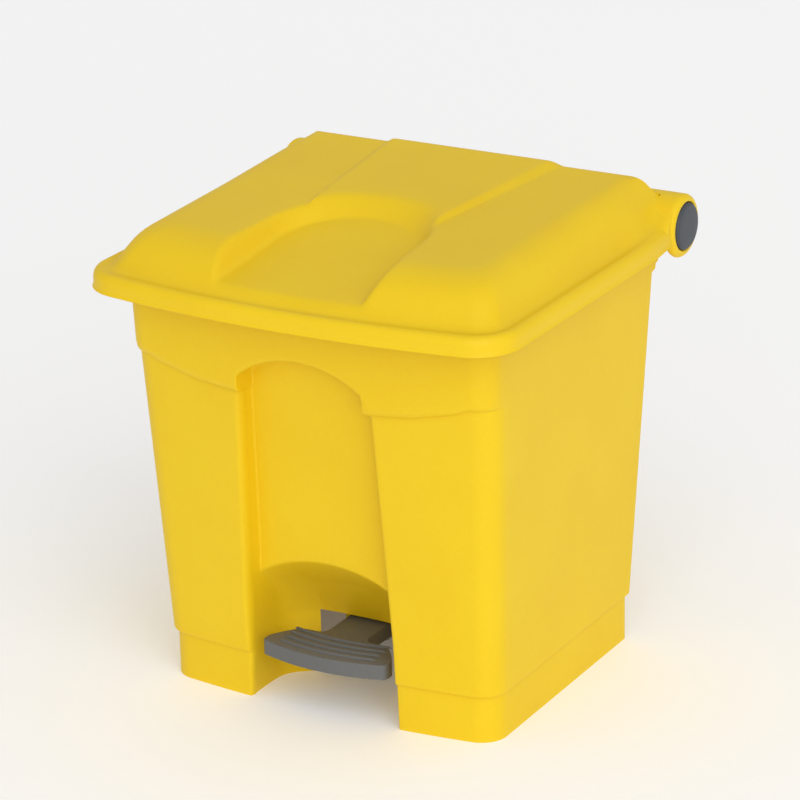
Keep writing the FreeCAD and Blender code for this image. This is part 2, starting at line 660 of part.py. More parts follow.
slots = [barrel_slot("slot_right", "ear_x - ear_slot_gap", "ear_x + ear_thick + bush_side_gap"),
         barrel_slot("slot_left", "-ear_x - ear_thick - bush_side_gap", "-ear_x + ear_slot_gap"),
         barrel_slot("slot_middle", "-pin_half - 2", "pin_half + 2")]
WEB_X = "ear_x + ear_thick + bush_side_gap + bush_flange"
webs = [round_bar("web_right", "barrel_radius - wall / 2", WEB_X, "hinge_y", "hinge_z",
                  WEB_X + " + web_thick"),
        round_bar("web_left", "barrel_radius - wall / 2", "-(%s) - web_thick" % WEB_X, "hinge_y",
                  "hinge_z", "-(%s)" % WEB_X)]
crank_boss = meet("crank_boss",
                  block("crank_boss_block", ("-crank_pad_half", "hinge_y - 12", "hinge_z + crank_pad"),
                        ("crank_pad_half", "hinge_y + 12", "hinge_z + barrel_radius")),
                  round_bar("crank_boss_round", "barrel_radius - wall / 2", "-crank_pad_half", "hinge_y",
                            "hinge_z", "crank_pad_half"))
web_bore = round_bar("web_bore", "bush_radius", "-hinge_rod_half", "hinge_y", "hinge_z", "hinge_rod_half")
SCREW_X = "crank_half + screw_head + 0.5"
crank_screw_holes = [
    stud("crank_screw_hole_right", "screw_radius + fixed_gap", SCREW_X, "hinge_y",
         "hinge_z + crank_pad - crank_pad_thick - 1",
         "hinge_z + crank_pad - crank_pad_thick + screw_length + 0.5"),
    stud("crank_screw_hole_left", "screw_radius + fixed_gap", "-(%s)" % SCREW_X, "hinge_y",
         "hinge_z + crank_pad - crank_pad_thick - 1",
         "hinge_z + crank_pad - crank_pad_thick + screw_length + 0.5")]
barrel_core = round_bar("barrel_core", "barrel_radius - wall / 2", "-lid_half_width - 1", "hinge_y",
                        "hinge_z", "lid_half_width + 1")
tube = remove("tube", barrel, barrel_bore, cap_bore, *slots)
lid_solid = join("lid_solid", remove("canopy_trimmed", canopy, barrel_core), tube, crank_boss, *webs)
lid_shell = remove("lid_shell", lid_solid, web_bore, *crank_screw_holes)

buffer_places = []
for side in (1, -1):
    buffer_places.append(("%d * buffer_x" % side,
                          "-(lid_front - wall - lid_ledge / 2) + lid_bow * (buffer_x / lid_half_width)^2"))
    buffer_places.append(("%d * (lid_half_width - wall - lid_ledge / 2)" % side, "buffer_y"))
lid_buffers = group("lid_buffers", *[
    stud("lid_buffer_%d" % number, "buffer_radius", px, py, "rim_top + seat_gap", LEDGE_TOP + " - wall")
    for number, (px, py) in enumerate(buffer_places)])


def sided(side, near, far):
    """Start and end along X of a piece on the right (1) or the left (-1)."""
    return (near, far) if side > 0 else ("-(%s)" % far, "-(%s)" % near)


def hinge_line(name, radius, side, near, far, y="hinge_y", z="hinge_z"):
    start, end = sided(side, near, far)
    return round_bar(name, radius, start, y, z, end)


def hinge_cap(name, side):
    """Plug cap in the end of the barrel: shallow cup with a softened rim."""
    skin = hinge_line(name + "_skin", "cap_radius", side, "lid_half_width + cap_proud - cap_depth",
                      "lid_half_width + cap_proud - 1")
    rim_ = doc.addObject("Part::Cone", name + "_rim")
    rim_.Placement.Rotation = FreeCAD.Rotation(FreeCAD.Vector(0, 1, 0), 90 if side > 0 else -90)
    bind(rim_, Radius1="cap_radius", Radius2="cap_radius - 1", Height="1",
         Placement__Base__x="%d * (lid_half_width + cap_proud - 1)" % side, Placement__Base__y="hinge_y",
         Placement__Base__z="hinge_z")
    cup = hinge_line(name + "_cup", "cap_radius - cap_wall", side,
                     "lid_half_width + cap_proud - cap_depth - 1", "lid_half_width + cap_proud - cap_wall")
    return remove(name, join(name + "_solid", skin, rim_), cup)


def flanged_bush(name, side, face, length, outer, flange_radius, bore, y, z):
    """Nylon bush whose flange lies inboard of the plate that it is pressed into."""
    flange_ = hinge_line(name + "_flange", flange_radius, side, face + " - bush_flange", face, y, z)
    sleeve = hinge_line(name + "_sleeve", outer, side, face + " - bush_flange", face + " + " + length, y, z)
    hole = hinge_line(name + "_hole", bore, side, face + " - bush_flange - 1",
                      face + " + " + length + " + 1", y, z)
    return remove(name, join(name + "_solid", flange_, sleeve), hole)


def ring(name, radius, bore, side, near, far, y, z):
    return remove(name, hinge_line(name + "_disc", radius, side, near, far, y, z),
                  hinge_line(name + "_bore", bore, side, near + " - 1", far + " + 1", y, z))


hinge_cap_right = hinge_cap("hinge_cap_right", 1)
hinge_cap_left = hinge_cap("hinge_cap_left", -1)
hinge_bush_right, hinge_bush_left = [
    flanged_bush("hinge_bush_" + name, side, WEB_X, "web_thick", "bush_radius", "bush_flange_radius",
                 "hinge_rod_radius + running_gap", "hinge_y", "hinge_z")
    for name, side in (("right", 1), ("left", -1))]
hinge_rod = join("hinge_rod", round_bar("hinge_rod_bar", "hinge_rod_radius", "-hinge_rod_half", "hinge_y",
                                        "hinge_z", "0"),
                 round_bar("hinge_rod_bar_right", "hinge_rod_radius", "0", "hinge_y", "hinge_z",
                           "hinge_rod_half"))
hinge_rod_clips = group("hinge_rod_clips", *[
    ring("hinge_rod_clip_" + name, "hinge_rod_radius + 3", "hinge_rod_radius + 0.02", side,
         WEB_X + " + web_thick + 0.5", WEB_X + " + web_thick + 0.5 + clip_thick", "hinge_y", "hinge_z")
    for name, side in (("right", 1), ("left", -1))])

# ---------------------------------------------------------------- crank, its pin and screws

crank_arm = pad("crank_arm", "YZ_Plane",
                [("hinge_y - 12", "hinge_z + crank_pad"),
                 ("hinge_y - 12", "hinge_z + 5"),
                 ("hinge_y - crank_reach - 6.3", "hinge_z - crank_drop + 4"),
                 ("hinge_y - crank_reach - 6.3", "hinge_z - crank_drop - 2"),
                 ("hinge_y - crank_reach - 2", "hinge_z - crank_drop - 6.3"),
                 ("hinge_y - crank_reach + 5", "hinge_z - crank_drop - 5"),
                 ("hinge_y + 8", "hinge_z - 6"), ("hinge_y + 9", "hinge_z + 4"),
                 ("hinge_y + 9", "hinge_z + crank_pad")],
                "2 * crank_half", midplane=True)
crank_pad = block("crank_pad_plate", ("-crank_pad_half", "hinge_y - 12", "hinge_z + crank_pad - crank_pad_thick"),
                  ("crank_pad_half", "hinge_y + 12", "hinge_z + crank_pad"))
crank_slot = block("crank_slot", ("-crank_slot_half", "hinge_y - 45", "hinge_z - 45"),
                   ("crank_slot_half", "hinge_y + 15", "hinge_z - 1.5"))
crank_rod_hole = round_bar("crank_rod_hole", "hinge_rod_radius + 0.5", "-crank_half - 1", "hinge_y", "hinge_z",
                           "crank_half + 1")
crank_pin_hole = round_bar("crank_pin_hole", "pin_radius + fixed_gap", "-crank_half - 1", CRANK_Y, CRANK_Z,
                           "crank_half + 1")
lift_crank = remove("lift_crank", join("crank_solid", crank_arm, crank_pad), crank_slot, crank_rod_hole,
                    crank_pin_hole, *crank_screw_holes)


def screw(name, x, y, head_top):
    """Pan-head screw driven upward: its head lies under head_top."""
    return join(name, stud(name + "_shank", "screw_radius", x, y, head_top + " - 1",
                           head_top + " + screw_length"),
                stud(name + "_head", "screw_head", x, y, head_top + " - 2.4", head_top))


crank_screws = group("crank_screws", *[
    screw("crank_screw_" + name, "%d * (%s)" % (side, SCREW_X), "hinge_y",
          "hinge_z + crank_pad - crank_pad_thick")
    for name, side in (("right", 1), ("left", -1))])


def headed_pin(name, grip, y, z):
    """Clevis pin across two ears: head on the left, grooved end on the right."""
    return join(name, round_bar(name + "_shank", "pin_radius", "-(%s) - 0.5" % grip, y, z, "pin_half"),
                round_bar(name + "_head", "pin_head", "-(%s) - pin_head_thick" % grip, y, z, "-(%s)" % grip))


def pin_clip(name, grip, y, z):
    return ring(name, "pin_head", "pin_radius + 0.02", 1, grip + " + 0.3", grip + " + 0.3 + 1.2", y, z)


upper_pin = headed_pin("upper_pin", "crank_half", CRANK_Y, CRANK_Z)
upper_pin_clip = pin_clip("upper_pin_clip", "crank_half", CRANK_Y, CRANK_Z)

# ---------------------------------------------------------------- lift rod

lift_rod_wire = new_body("lift_rod_wire")
spine = new_sketch(lift_rod_wire, "YZ_Plane")
RUN = [(ROD_FOOT_Y, "axle_z + pin_radius + 2"), (ROD_BEND_Y, "bend_level"), (CRANK_Y, "bend_top"),
       (CRANK_Y, CRANK_Z + " - slot_rise - pin_radius - 2")]
for number in range(3):
    spine.addGeometry(Part.LineSegment(
        FreeCAD.Vector(size(RUN[number][0]), size(RUN[number][1]), 0),
        FreeCAD.Vector(size(RUN[number + 1][0]), size(RUN[number + 1][1]), 0)))
for number in range(2):
    spine.addConstraint(Sketcher.Constraint("Coincident", number, 2, number + 1, 1))
for number in range(3):
    pin_point(spine, number, 1, RUN[number][0], RUN[number][1], "p%d" % number)
pin_point(spine, 2, 2, RUN[3][0], RUN[3][1], "p3")
section = new_sketch(lift_rod_wire, "XY_Plane", "axle_z + pin_radius + 2")
circle(section, "0", ROD_FOOT_Y, "rod_radius")
wire = lift_rod_wire.newObject("PartDesign::AdditivePipe", "lift_rod_pipe")
wire.Profile = section
wire.Spine = spine
wire.Transition = "Right corner"
foot_eye = remove("foot_eye",
                  round_bar("foot_eye_disc", "pin_radius + running_gap + rod_eye_wall", "-rod_eye_half",
                            ROD_FOOT_Y, "axle_z", "rod_eye_half"),
                  round_bar("foot_eye_hole", "pin_radius + running_gap", "-rod_eye_half - 1", ROD_FOOT_Y,
                            "axle_z", "rod_eye_half + 1"))


def head_eye(name, grow, half):
    """Oblong loop at the rod's head: the crank pin wanders along it as the lid turns."""
    reach = "pin_radius + slot_gap + %s" % grow
    low = "%s - slot_rise / 2 - (%s)" % (CRANK_Z, "slot_rise / 2 + " + reach)
    high = "%s - slot_rise / 2 + (%s)" % (CRANK_Z, "slot_rise / 2 + " + reach)
    middle = "%s - slot_rise / 2" % CRANK_Z
    return pad(name, "YZ_Plane",
               [("%s - slot_run" % CRANK_Y, low), (CRANK_Y, low), (CRANK_Y, high),
                ("%s - slot_run" % CRANK_Y, high)],
               "2 * (%s)" % half,
               {1: ("%s + %s" % (CRANK_Y, reach), middle),
                3: ("%s - slot_run - (%s)" % (CRANK_Y, reach), middle)}, midplane=True)


loop = remove("loop", head_eye("loop_disc", "rod_eye_wall", "rod_eye_half"),
              head_eye("loop_slot", "0", "rod_eye_half + 1"))
lift_rod = remove("lift_rod", join("lift_rod_solid", lift_rod_wire, foot_eye, loop),
                  head_eye("loop_clear", "0", "rod_eye_half + 1"),
                  round_bar("foot_clear", "pin_radius + running_gap", "-rod_eye_half - 1", ROD_FOOT_Y,
                            "axle_z", "rod_eye_half + 1"))

# ---------------------------------------------------------------- axle and its bushes

pedal_axle = join("pedal_axle",
                  round_bar("pedal_axle_left", "axle_radius", "-axle_half", "axle_y", "axle_z", "0"),
                  round_bar("pedal_axle_right", "axle_radius", "0", "axle_y", "axle_z", "axle_half"))
axle_bush_right, axle_bush_left = [
    flanged_bush("axle_bush_" + name, side, "(%s)" % LUG_X, "lug_thick", "axle_bush_radius",
                 "axle_bush_radius + 3", "axle_radius + fixed_gap", "axle_y", "axle_z")
    for name, side in (("right", 1), ("left", -1))]
axle_clips = group("axle_clips", *[
    ring("axle_clip_" + name, "clip_radius", "axle_radius + 0.02", side, LUG_X + " + lug_thick + 0.5",
         LUG_X + " + lug_thick + 0.5 + clip_thick", "axle_y", "axle_z")
    for name, side in (("right", 1), ("left", -1))])

# ---------------------------------------------------------------- pedal

TAIL = "lever_level - lever_tail_drop"
lever_bar = pad("lever_bar", "YZ_Plane",
                [("-lever_front", "lever_level"), ("-lever_joggle_front", "lever_level"),
                 ("-lever_joggle_rear", TAIL), ("axle_y + lift_arm + 6", TAIL),
                 ("axle_y + lift_arm + 6", TAIL + " + lever_thick"),
                 ("-lever_joggle_rear + 1.5", TAIL + " + lever_thick"),
                 ("-lever_joggle_front + 1.5", "lever_level + lever_thick"),
                 ("-lever_front", "lever_level + lever_thick")],
                "2 * lever_half", midplane=True)
lever_hub = round_bar("lever_hub", "hub_radius", "-hub_half", "axle_y", "axle_z", "hub_half")
lever_ears = pad("lever_ears", "YZ_Plane",
                 [("axle_y + lift_arm - 16", TAIL + " + 1"),
                  ("axle_y + lift_arm - 5", "axle_z - 6"), ("axle_y + lift_arm + 3", "axle_z - 6"),
                  ("axle_y + lift_arm + 6", "axle_z - 2"), ("axle_y + lift_arm + 6", TAIL + " + 1")],
                 "2 * crank_half", midplane=True)
lever_slot = block("lever_slot", ("-crank_slot_half", "axle_y + lift_arm - 9", "axle_z - 10"),
                   ("crank_slot_half", "axle_y + lift_arm + 10", TAIL + " + lever_thick + 1"))
lever_bore = round_bar("lever_bore", "axle_radius + running_gap", "-hub_half - 1", "axle_y", "axle_z",
                       "hub_half + 1")
lever_pin_hole = round_bar("lever_pin_hole", "pin_radius + fixed_gap", "-crank_half - 1", ROD_FOOT_Y, "axle_z",
                           "crank_half + 1")
LEVER_SCREW_Y = "-(lever_front + lever_joggle_front) / 2"
lever_screw_holes = [stud("lever_screw_hole_" + name, "screw_radius + fixed_gap",
                          "%d * lever_half / 2" % side, LEVER_SCREW_Y, "lever_level - 1",
                          "lever_level + screw_length + 0.3") for name, side in (("right", 1), ("left", -1))]
pedal_lever = remove("pedal_lever", join("lever_solid", lever_bar, lever_hub, lever_ears), lever_slot,
                     lever_bore, lever_pin_hole, *lever_screw_holes)
lower_pin = headed_pin("lower_pin", "crank_half", ROD_FOOT_Y, "axle_z")
lower_pin_clip = pin_clip("lower_pin_clip", "crank_half", ROD_FOOT_Y, "axle_z")
lever_screws = group("lever_screws", *[
    screw("lever_screw_" + name, "%d * lever_half / 2" % side, LEVER_SCREW_Y, "lever_level")
    for name, side in (("right", 1), ("left", -1))])


def treadle_outline(inset):
    """Plan of the treadle and its neck, moved inward by inset; right half, then mirrored."""
    right = [("treadle_half - %s" % inset, "-treadle_side_front + %s" % inset),
             ("treadle_half - %s" % inset, "-treadle_side_rear"),
             ("treadle_half - treadle_chamfer - %s" % inset, "-treadle_rear - 4"),
             ("neck_half + 6 - %s" % inset, "-treadle_rear - %s" % inset),
             ("neck_half - %s" % inset, "-treadle_rear + 12"),
             ("neck_half - %s" % inset, "-neck_rear - %s" % inset)]
    left = [("-(%s)" % px, py) for px, py in reversed(right)]
    return right + left


def treadle_pad(name, inset, bottom, top):
    points = treadle_outline(inset)
    return pad(name, "XY_Plane", points, "(%s) - (%s)" % (top, bottom),
               {len(points) - 1: ("0", "-treadle_front + %s" % inset)}, bottom)


treadle_solid = treadle_pad("treadle_solid", "0", "treadle_foot", "treadle_top")
treadle_hollow = treadle_pad("treadle_hollow", "treadle_wall", "treadle_foot - 1",
                             "treadle_top - treadle_skin")
treadle_seat = block("treadle_seat", ("-lever_half", "-lever_front", "lever_level + lever_thick"),
                     ("lever_half", "-lever_joggle_front", "treadle_top - treadle_skin + 1"))
lever_exit = block("lever_exit", ("-neck_half + treadle_wall", "-neck_rear - 8", "treadle_foot - 1"),
                   ("neck_half - treadle_wall", "-neck_rear + 1", "treadle_top - treadle_skin"))
ridges = []
for number in range(4):
    front = "treadle_front - 9 - %d * ridge_pitch" % number
    sag = "treadle_front - treadle_side_front - 2"
    ridges.append(pad("ridge_%d" % number, "XY_Plane",
                      [("-ridge_half", "-(%s) + %s" % (front, sag)), ("ridge_half", "-(%s) + %s" % (front, sag)),
                       ("ridge_half", "-(%s) + %s + ridge_width" % (front, sag)),
                       ("-ridge_half", "-(%s) + %s + ridge_width" % (front, sag))],
                      "ridge_height + 0.5", {0: ("0", "-(%s)" % front), 2: ("0", "-(%s) + ridge_width" % front)},
                      "treadle_top - 0.5"))
pedal_treadle = remove("pedal_treadle",
                       join("treadle_body", remove("treadle_shell", treadle_solid, treadle_hollow, lever_exit),
                            treadle_seat, *ridges), *lever_screw_holes)

# ---------------------------------------------------------------- check and write

NODES = [body_shell, rear_cover, pedal_axle, axle_bush_right, axle_bush_left, axle_clips, hinge_rod,
         hinge_rod_clips, lid_shell, hinge_cap_right, hinge_cap_left, hinge_bush_right, hinge_bush_left,
         lift_crank, crank_screws, upper_pin, upper_pin_clip, lid_buffers, pedal_treadle, pedal_lever,
         lever_screws, lower_pin, lower_pin_clip, lift_rod]

doc.recompute()
for obj in doc.Objects:
    if "Invalid" in obj.State or "Error" in obj.State:
        raise RuntimeError("%s failed to build" % obj.Name)
os.makedirs("parts", exist_ok=True)
for node in NODES:
    shape = node.Shape
    if shape.isNull() or not shape.isValid():
        raise RuntimeError("%s has no valid shape" % node.Label)
    print("%-18s solids %d  volume %10.0f" % (node.Label, len(shape.Solids), shape.Volume))
    shape.exportStep("parts/%s.step" % node.Label)
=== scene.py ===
import bisect
import math

import bmesh
import bpy
from bpy.props import FloatProperty, FloatVectorProperty, IntProperty, PointerProperty
from mathutils import Matrix, Quaternion, Vector


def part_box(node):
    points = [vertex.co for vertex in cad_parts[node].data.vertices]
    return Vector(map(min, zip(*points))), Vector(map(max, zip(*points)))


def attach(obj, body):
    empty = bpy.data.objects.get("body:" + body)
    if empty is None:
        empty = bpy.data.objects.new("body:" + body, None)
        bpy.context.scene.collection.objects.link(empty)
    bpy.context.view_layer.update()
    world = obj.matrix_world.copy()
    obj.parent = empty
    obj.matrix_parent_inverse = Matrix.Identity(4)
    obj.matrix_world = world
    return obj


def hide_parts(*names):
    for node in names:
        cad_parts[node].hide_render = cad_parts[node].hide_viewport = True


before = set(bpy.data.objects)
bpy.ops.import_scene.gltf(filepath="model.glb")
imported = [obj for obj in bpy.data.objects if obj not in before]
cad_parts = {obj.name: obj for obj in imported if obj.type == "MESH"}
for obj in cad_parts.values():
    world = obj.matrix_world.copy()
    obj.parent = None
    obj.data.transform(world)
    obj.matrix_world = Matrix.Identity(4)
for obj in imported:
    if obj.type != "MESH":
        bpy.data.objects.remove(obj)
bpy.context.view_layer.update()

bl_info = {
    "name": "Pedal bin",
    "version": (1, 0, 0),
    "blender": (4, 5, 0),
    "location": "3D View > Sidebar > Pedal bin",
    "description": "Yellow moulded pedal bin with a domed lid on a full-width hinge and a grey treadle",
    "category": "Object",
}

# The frame is in metres. Sizes inside the shape functions are in millimetres, because that is how
# the mouldings are dimensioned, and every mesh is scaled once as it becomes an object.
MM = 0.001
HINGE_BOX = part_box("hinge_rod")
AXLE_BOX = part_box("pedal_axle")
COVER_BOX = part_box("rear_cover")
TREADLE_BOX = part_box("pedal_treadle")
LID_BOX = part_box("lid_shell")
CAP_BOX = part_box("hinge_cap_right")


def linear(colour):
    """Linear RGB of an sRGB hex colour."""
    parts = [int(colour[i:i + 2], 16) / 255 for i in (1, 3, 5)]
    return tuple(c / 12.92 if c <= 0.04045 else ((c + 0.055) / 1.055) ** 2.4 for c in parts)


# ---------------------------------------------------------------- sizes that a user may change

def length(name, text, value_mm):
    return FloatProperty(name=name, description=text, default=value_mm * MM, min=0.0, unit="LENGTH",
                         subtype="DISTANCE", precision=4)


def ratio(name, text, value):
    return FloatProperty(name=name, description=text, default=value, subtype="FACTOR", precision=4)


def tint(name, text, colour):
    return FloatVectorProperty(name=name, description=text, default=linear(colour), subtype="COLOR",
                               min=0.0, max=1.0)


class BodySizes(bpy.types.PropertyGroup):
    wall: length("Wall", "Thickness of the moulded wall", 3.0)
    half_width: length("Half width", "Half the width at the floor", 163.5)
    front: length("Front", "Middle of the bowed front, ahead of the origin, at the floor", 135.5)
    rear: length("Rear", "Rear wall behind the origin, at the floor", 129.0)
    skirt_height: length("Skirt height", "Height of the set-in skirt", 42.4)
    skirt_step: length("Skirt step", "How far the upper body stands out over the skirt", 2.9)
    side_draft: ratio("Side draft", "Outward run of the side walls per rise", 0.038)
    front_draft: ratio("Front draft", "Outward run of the front per rise", 0.0657)
    rear_draft: ratio("Rear draft", "Outward run of the rear wall per rise", 0.067)
    bow: length("Bow", "Rise of the front's bow over the full width", 13.0)
    corner: length("Corner", "Radius of the front corners", 24.0)
    apron: length("Apron level", "Lower edge of the apron at the recess", 295.0)
    apron_proud: length("Apron proud", "How far the apron stands out over the columns", 7.0)
    recess_foot: length("Recess half width, foot", "Half the recess between the columns at the floor", 74.6)
    recess_top: length("Recess half width, top", "The same where the arch springs", 63.0)
    arch_spring: length("Arch spring", "Level where the recess's arch begins", 309.0)
    arch_top: length("Arch top", "Crown of the recess's arch", 334.0)
    column_edge: length("Column edge", "Rounding of the columns' inner edges", 10.5)
    rim_half: length("Rim half width", "Half width of the flange under the lid", 197.5)
    rim_front: length("Rim front", "Front of the flange under the lid", 193.5)


class LidSizes(bpy.types.PropertyGroup):
    wall: length("Wall", "Thickness of the lid moulding", 3.0)
    half_width: length("Half width", "Half the width of the lid", LID_BOX[1].x / MM)
    front: length("Front", "Middle of the bowed front, ahead of the origin", -LID_BOX[0].y / MM)
    bow: length("Bow", "Rise of the front's bow over the full width", 19.8)
    corner: length("Corner", "Radius of the skirt's front corners", 40.0)
    level: length("Lower edge", "Level of the lid's lower edge", 373.5)
    dome_half: length("Dome half width", "Half width of the dome's top", 160.0)
    dome_front: length("Dome front", "Front edge of the dome's top", 140.0)
    dome_rear: length("Dome rear", "Rear edge of the dome's top", 148.0)
    dome_level: length("Dome level", "Dome's top over the origin", 428.2)
    dome_rise: ratio("Dome rise", "Rise of the dome's top to the rear, per run", 0.031)
    panel_half: length("Panel half width", "Half width of the arched sunk panel", 66.5)
    panel_apex: length("Panel apex", "End of the sunk panel, ahead of the origin", 18.0)
    panel_level: length("Panel level", "Plane of the sunk panel over the origin", 419.5)
    panel_rise: ratio("Panel rise", "Rise of the sunk panel to the rear, per run", 0.1246)
    strip_proud: length("Strip height", "Height of the raised strip behind the panel", 3.5)


class HingeSizes(bpy.types.PropertyGroup):
    axis_y: length("Axis behind the origin", "Hinge axis", (HINGE_BOX[0].y + HINGE_BOX[1].y) / 2 / MM)
    axis_z: length("Axis height", "Hinge axis", (HINGE_BOX[0].z + HINGE_BOX[1].z) / 2 / MM)
    barrel: length("Barrel radius", "Outer radius of the lid's barrel", 28.4)
    barrel_half: length("Barrel half length", "Half the length of the barrel", 200.6)
    barrel_edge: length("Barrel edge", "Rounding of the barrel's ends", 5.6)
    cap: length("Cap radius", "Radius of the grey end caps", 21.0)
    cap_face: length("Cap face", "Outer face of the cap from the middle", CAP_BOX[1].x / MM - 1.8)


class TreadleSizes(bpy.types.PropertyGroup):
    half_width: length("Half width", "Half the width of the treadle", 62.0)
    front: length("Front", "Middle of the bowed front edge, ahead of the origin", -TREADLE_BOX[0].y / MM)
    top: length("Top", "Level of the rim round the tread", 58.8)
    foot: length("Foot", "Lower edge of the treadle's sides", 45.2)
    lip: length("Lip", "Width of the raised lip round the tread", 2.4)
    ridge: length("Ridge height", "Height of the four grip ridges", 1.8)
    ridges: IntProperty(name="Ridges", description="Number of grip ridges", default=4, min=1, max=8)


class FinishColours(bpy.types.PropertyGroup):
    yellow: tint("Yellow", "Self-coloured yellow polypropylene", "#EDC916")
    grey: tint("Grey", "Self-coloured grey polypropylene of the treadle", "#6B6C6C")
    cap: tint("Cap grey", "Darker grey polypropylene of the end caps", "#494D52")
    zinc: tint("Zinc", "Bright zinc plating on steel", "#B9BCBD")
    nylon: tint("Nylon", "Natural nylon bushes", "#DAD6C6")
    rubber: tint("Rubber", "Dark rubber buffers", "#2A2B2C")


class StageSettings(bpy.types.PropertyGroup):
    floor: tint("Floor", "Pale studio floor", "#FCFCFC")
    floor_glow: FloatProperty(name="Floor glow", description="Light that the floor gives of itself",
                              default=0.09)
    sky: FloatProperty(name="Fill light", description="Strength of the even light all round", default=0.62)
    key: FloatProperty(name="Key light", description="Power of the large front light", default=4.5,
                       unit="POWER")
    sun: FloatProperty(name="Broad light", description="Strength of the broad soft light", default=1.17)
    lens: FloatProperty(name="Lens", description="Focal length of the camera", default=166.94,
                        unit="CAMERA")


# ---------------------------------------------------------------- shared shaping helpers

def mix(a, b, t):
    return a + (b - a) * t


def clamp(t):
    return min(1.0, max(0.0, t))


def ease(t):
    t = clamp(t)
    return t * t * (3 - 2 * t)


def softened(value, width):
    """max(value, 0) with its corner rounded over about width."""
    return (value + math.sqrt(value * value + width * width)) / 2


def lower_of(a, b, width):
    """The lower of two heights, blended over about width where they cross."""
    return a - softened(a - b, width)


def table(points, x):
    """Straight-line reading between (x, value) points."""
    xs = [p[0] for p in points]
    i = min(max(bisect.bisect_right(xs, x), 1), len(points) - 1)
    (x0, v0), (x1, v1) = points[i - 1], points[i]
    return mix(v0, v1, clamp((x - x0) / (x1 - x0)))


def along(path, t):
    """Point at fraction t of a polyline's length."""
    steps = [math.dist(path[i], path[i + 1]) for i in range(len(path) - 1)]
    left = clamp(t) * sum(steps)
    for i, step in enumerate(steps):
        if left <= step or i == len(steps) - 1:
            f = left / step
            return tuple(mix(a, b, f) for a, b in zip(path[i], path[i + 1]))
        left -= step


def fitted_sheet(bm, columns, rows, place):
    """A grid whose crossing (column, row) is moved to place(column, row)."""
    made = bmesh.ops.create_grid(bm, x_segments=columns, y_segments=rows, size=1.0)["verts"]
    grid = {}
    for vert in made:
        i = round((vert.co.x + 1) / 2 * columns)
        j = round((vert.co.y + 1) / 2 * rows)
        grid[i, j] = vert
    for (i, j), vert in grid.items():
        vert.co = place(i, j)
    return grid


def cut_cells(bm, grid, cells):
    """Remove the faces of a fitted sheet whose low corner is in cells."""
    gone = []
    for i, j in cells:
        corners = {grid[i, j], grid[i + 1, j], grid[i, j + 1], grid[i + 1, j + 1]}
        gone += [f for f in grid[i, j].link_faces if set(f.verts) == corners]
    bmesh.ops.delete(bm, geom=gone, context="FACES")


def facing(bm, faces, outward):
    """Turn a connected patch so that its first listed face looks along outward."""
    bmesh.ops.recalc_face_normals(bm, faces=faces)
    faces[0].normal_update()
    if faces[0].normal.dot(outward) < 0:
        bmesh.ops.reverse_faces(bm, faces=faces)


def give_wall(bm, faces, thickness):
    """Give a sheet its wall: the outer skin stays where it is and an inner one is made under it."""
    bm.normal_update()
    verts = {v for f in faces for v in f.verts}
    moves = {v: v.normal * thickness * min(v.calc_shell_factor(), 1.35) for v in verts}
    bmesh.ops.extrude_face_region(bm, geom=faces, use_keep_orig=True)
    for vert, move in moves.items():
        vert.co -= move
    bmesh.ops.reverse_faces(bm, faces=faces)


def block(bm, low, high, edge=0.6):
    """Box between two corners with rounded edges."""
    size = [b - a for a, b in zip(low, high)]
    centre = [(a + b) / 2 for a, b in zip(low, high)]
    made = bmesh.ops.create_cube(bm, size=1.0,
                                 matrix=Matrix.Translation(centre) @ Matrix.Diagonal((*size, 1.0)))
    edges = {e for v in made["verts"] for e in v.link_edges}
    bmesh.ops.bevel(bm, geom=list(edges), offset=edge, offset_type="OFFSET", segments=2, profile=0.5,
                    affect="EDGES", material=-1)


def turned(bm, profile, y, z, steps=96, sign=1):
    """Ring turned about the hinge line from an (x, radius) profile."""
    verts = [bm.verts.new((sign * x, y, z + radius)) for x, radius in profile]
    edges = [bm.edges.new(pair) for pair in zip(verts, verts[1:])]
    bmesh.ops.spin(bm, geom=verts + edges, cent=(0, y, z), axis=(1, 0, 0), steps=steps,
                   angle=2 * math.pi, use_merge=True, use_duplicate=False)


def piece(bm, name, body, material, replaced=(), sharp=38.0):
    """Make the finished object: metres, smooth shading with crisp creases, body, node and slot."""
    bmesh.ops.scale(bm, vec=(MM, MM, MM), verts=bm.verts)
    mesh = bpy.data.meshes.new(name)
    bm.to_mesh(mesh)
    bm.free()
    mesh.shade_smooth()
    mesh.set_sharp_from_angle(angle=math.radians(sharp))
    obj = bpy.data.objects.new(name, mesh)
    bpy.context.scene.collection.objects.link(obj)
    mesh.materials.append(material)
    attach(obj, body)
    if replaced:
        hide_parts(*replaced)


# ---------------------------------------------------------------- plan outlines

class Plan:
    """Rounded plan outline: straight sides and rear, bowed front, two rounded front corners."""

    def __init__(self, half, front, rear, bow, corner):
        self.half, self.front, self.rear, self.corner = half, front, rear, corner
        self.radius = (half * half + bow * bow) / (2 * bow)
        self.centre = self.radius - front
        reach = self.radius - corner
        self.corner_y = self.centre - math.sqrt(reach ** 2 - (half - corner) ** 2)
        self.turn = math.atan2(self.centre - self.corner_y, half - corner)
        self.front_x = self.radius * math.cos(self.turn)

    def face(self, x):
        """The bowed front at x."""
        return self.centre - math.sqrt(self.radius ** 2 - x * x)

    def corner_point(self, t):
        """Front corner from the side wall (t 0) to the front (t 1)."""
        angle = self.turn * t
        return (self.half - self.corner + self.corner * math.cos(angle),
                self.corner_y - self.corner * math.sin(angle))


# ---------------------------------------------------------------- body moulding

CHANNEL = 16.0          # half width of the slot in the rear wall over the rod channel
REAR_CUT = 13.9         # the rim stops this far ahead of the rear wall
REAR_ROUND = 4.0        # radius of the rear corners
RAIL_FOOT, RAIL_TOP = 345.4, 357.0
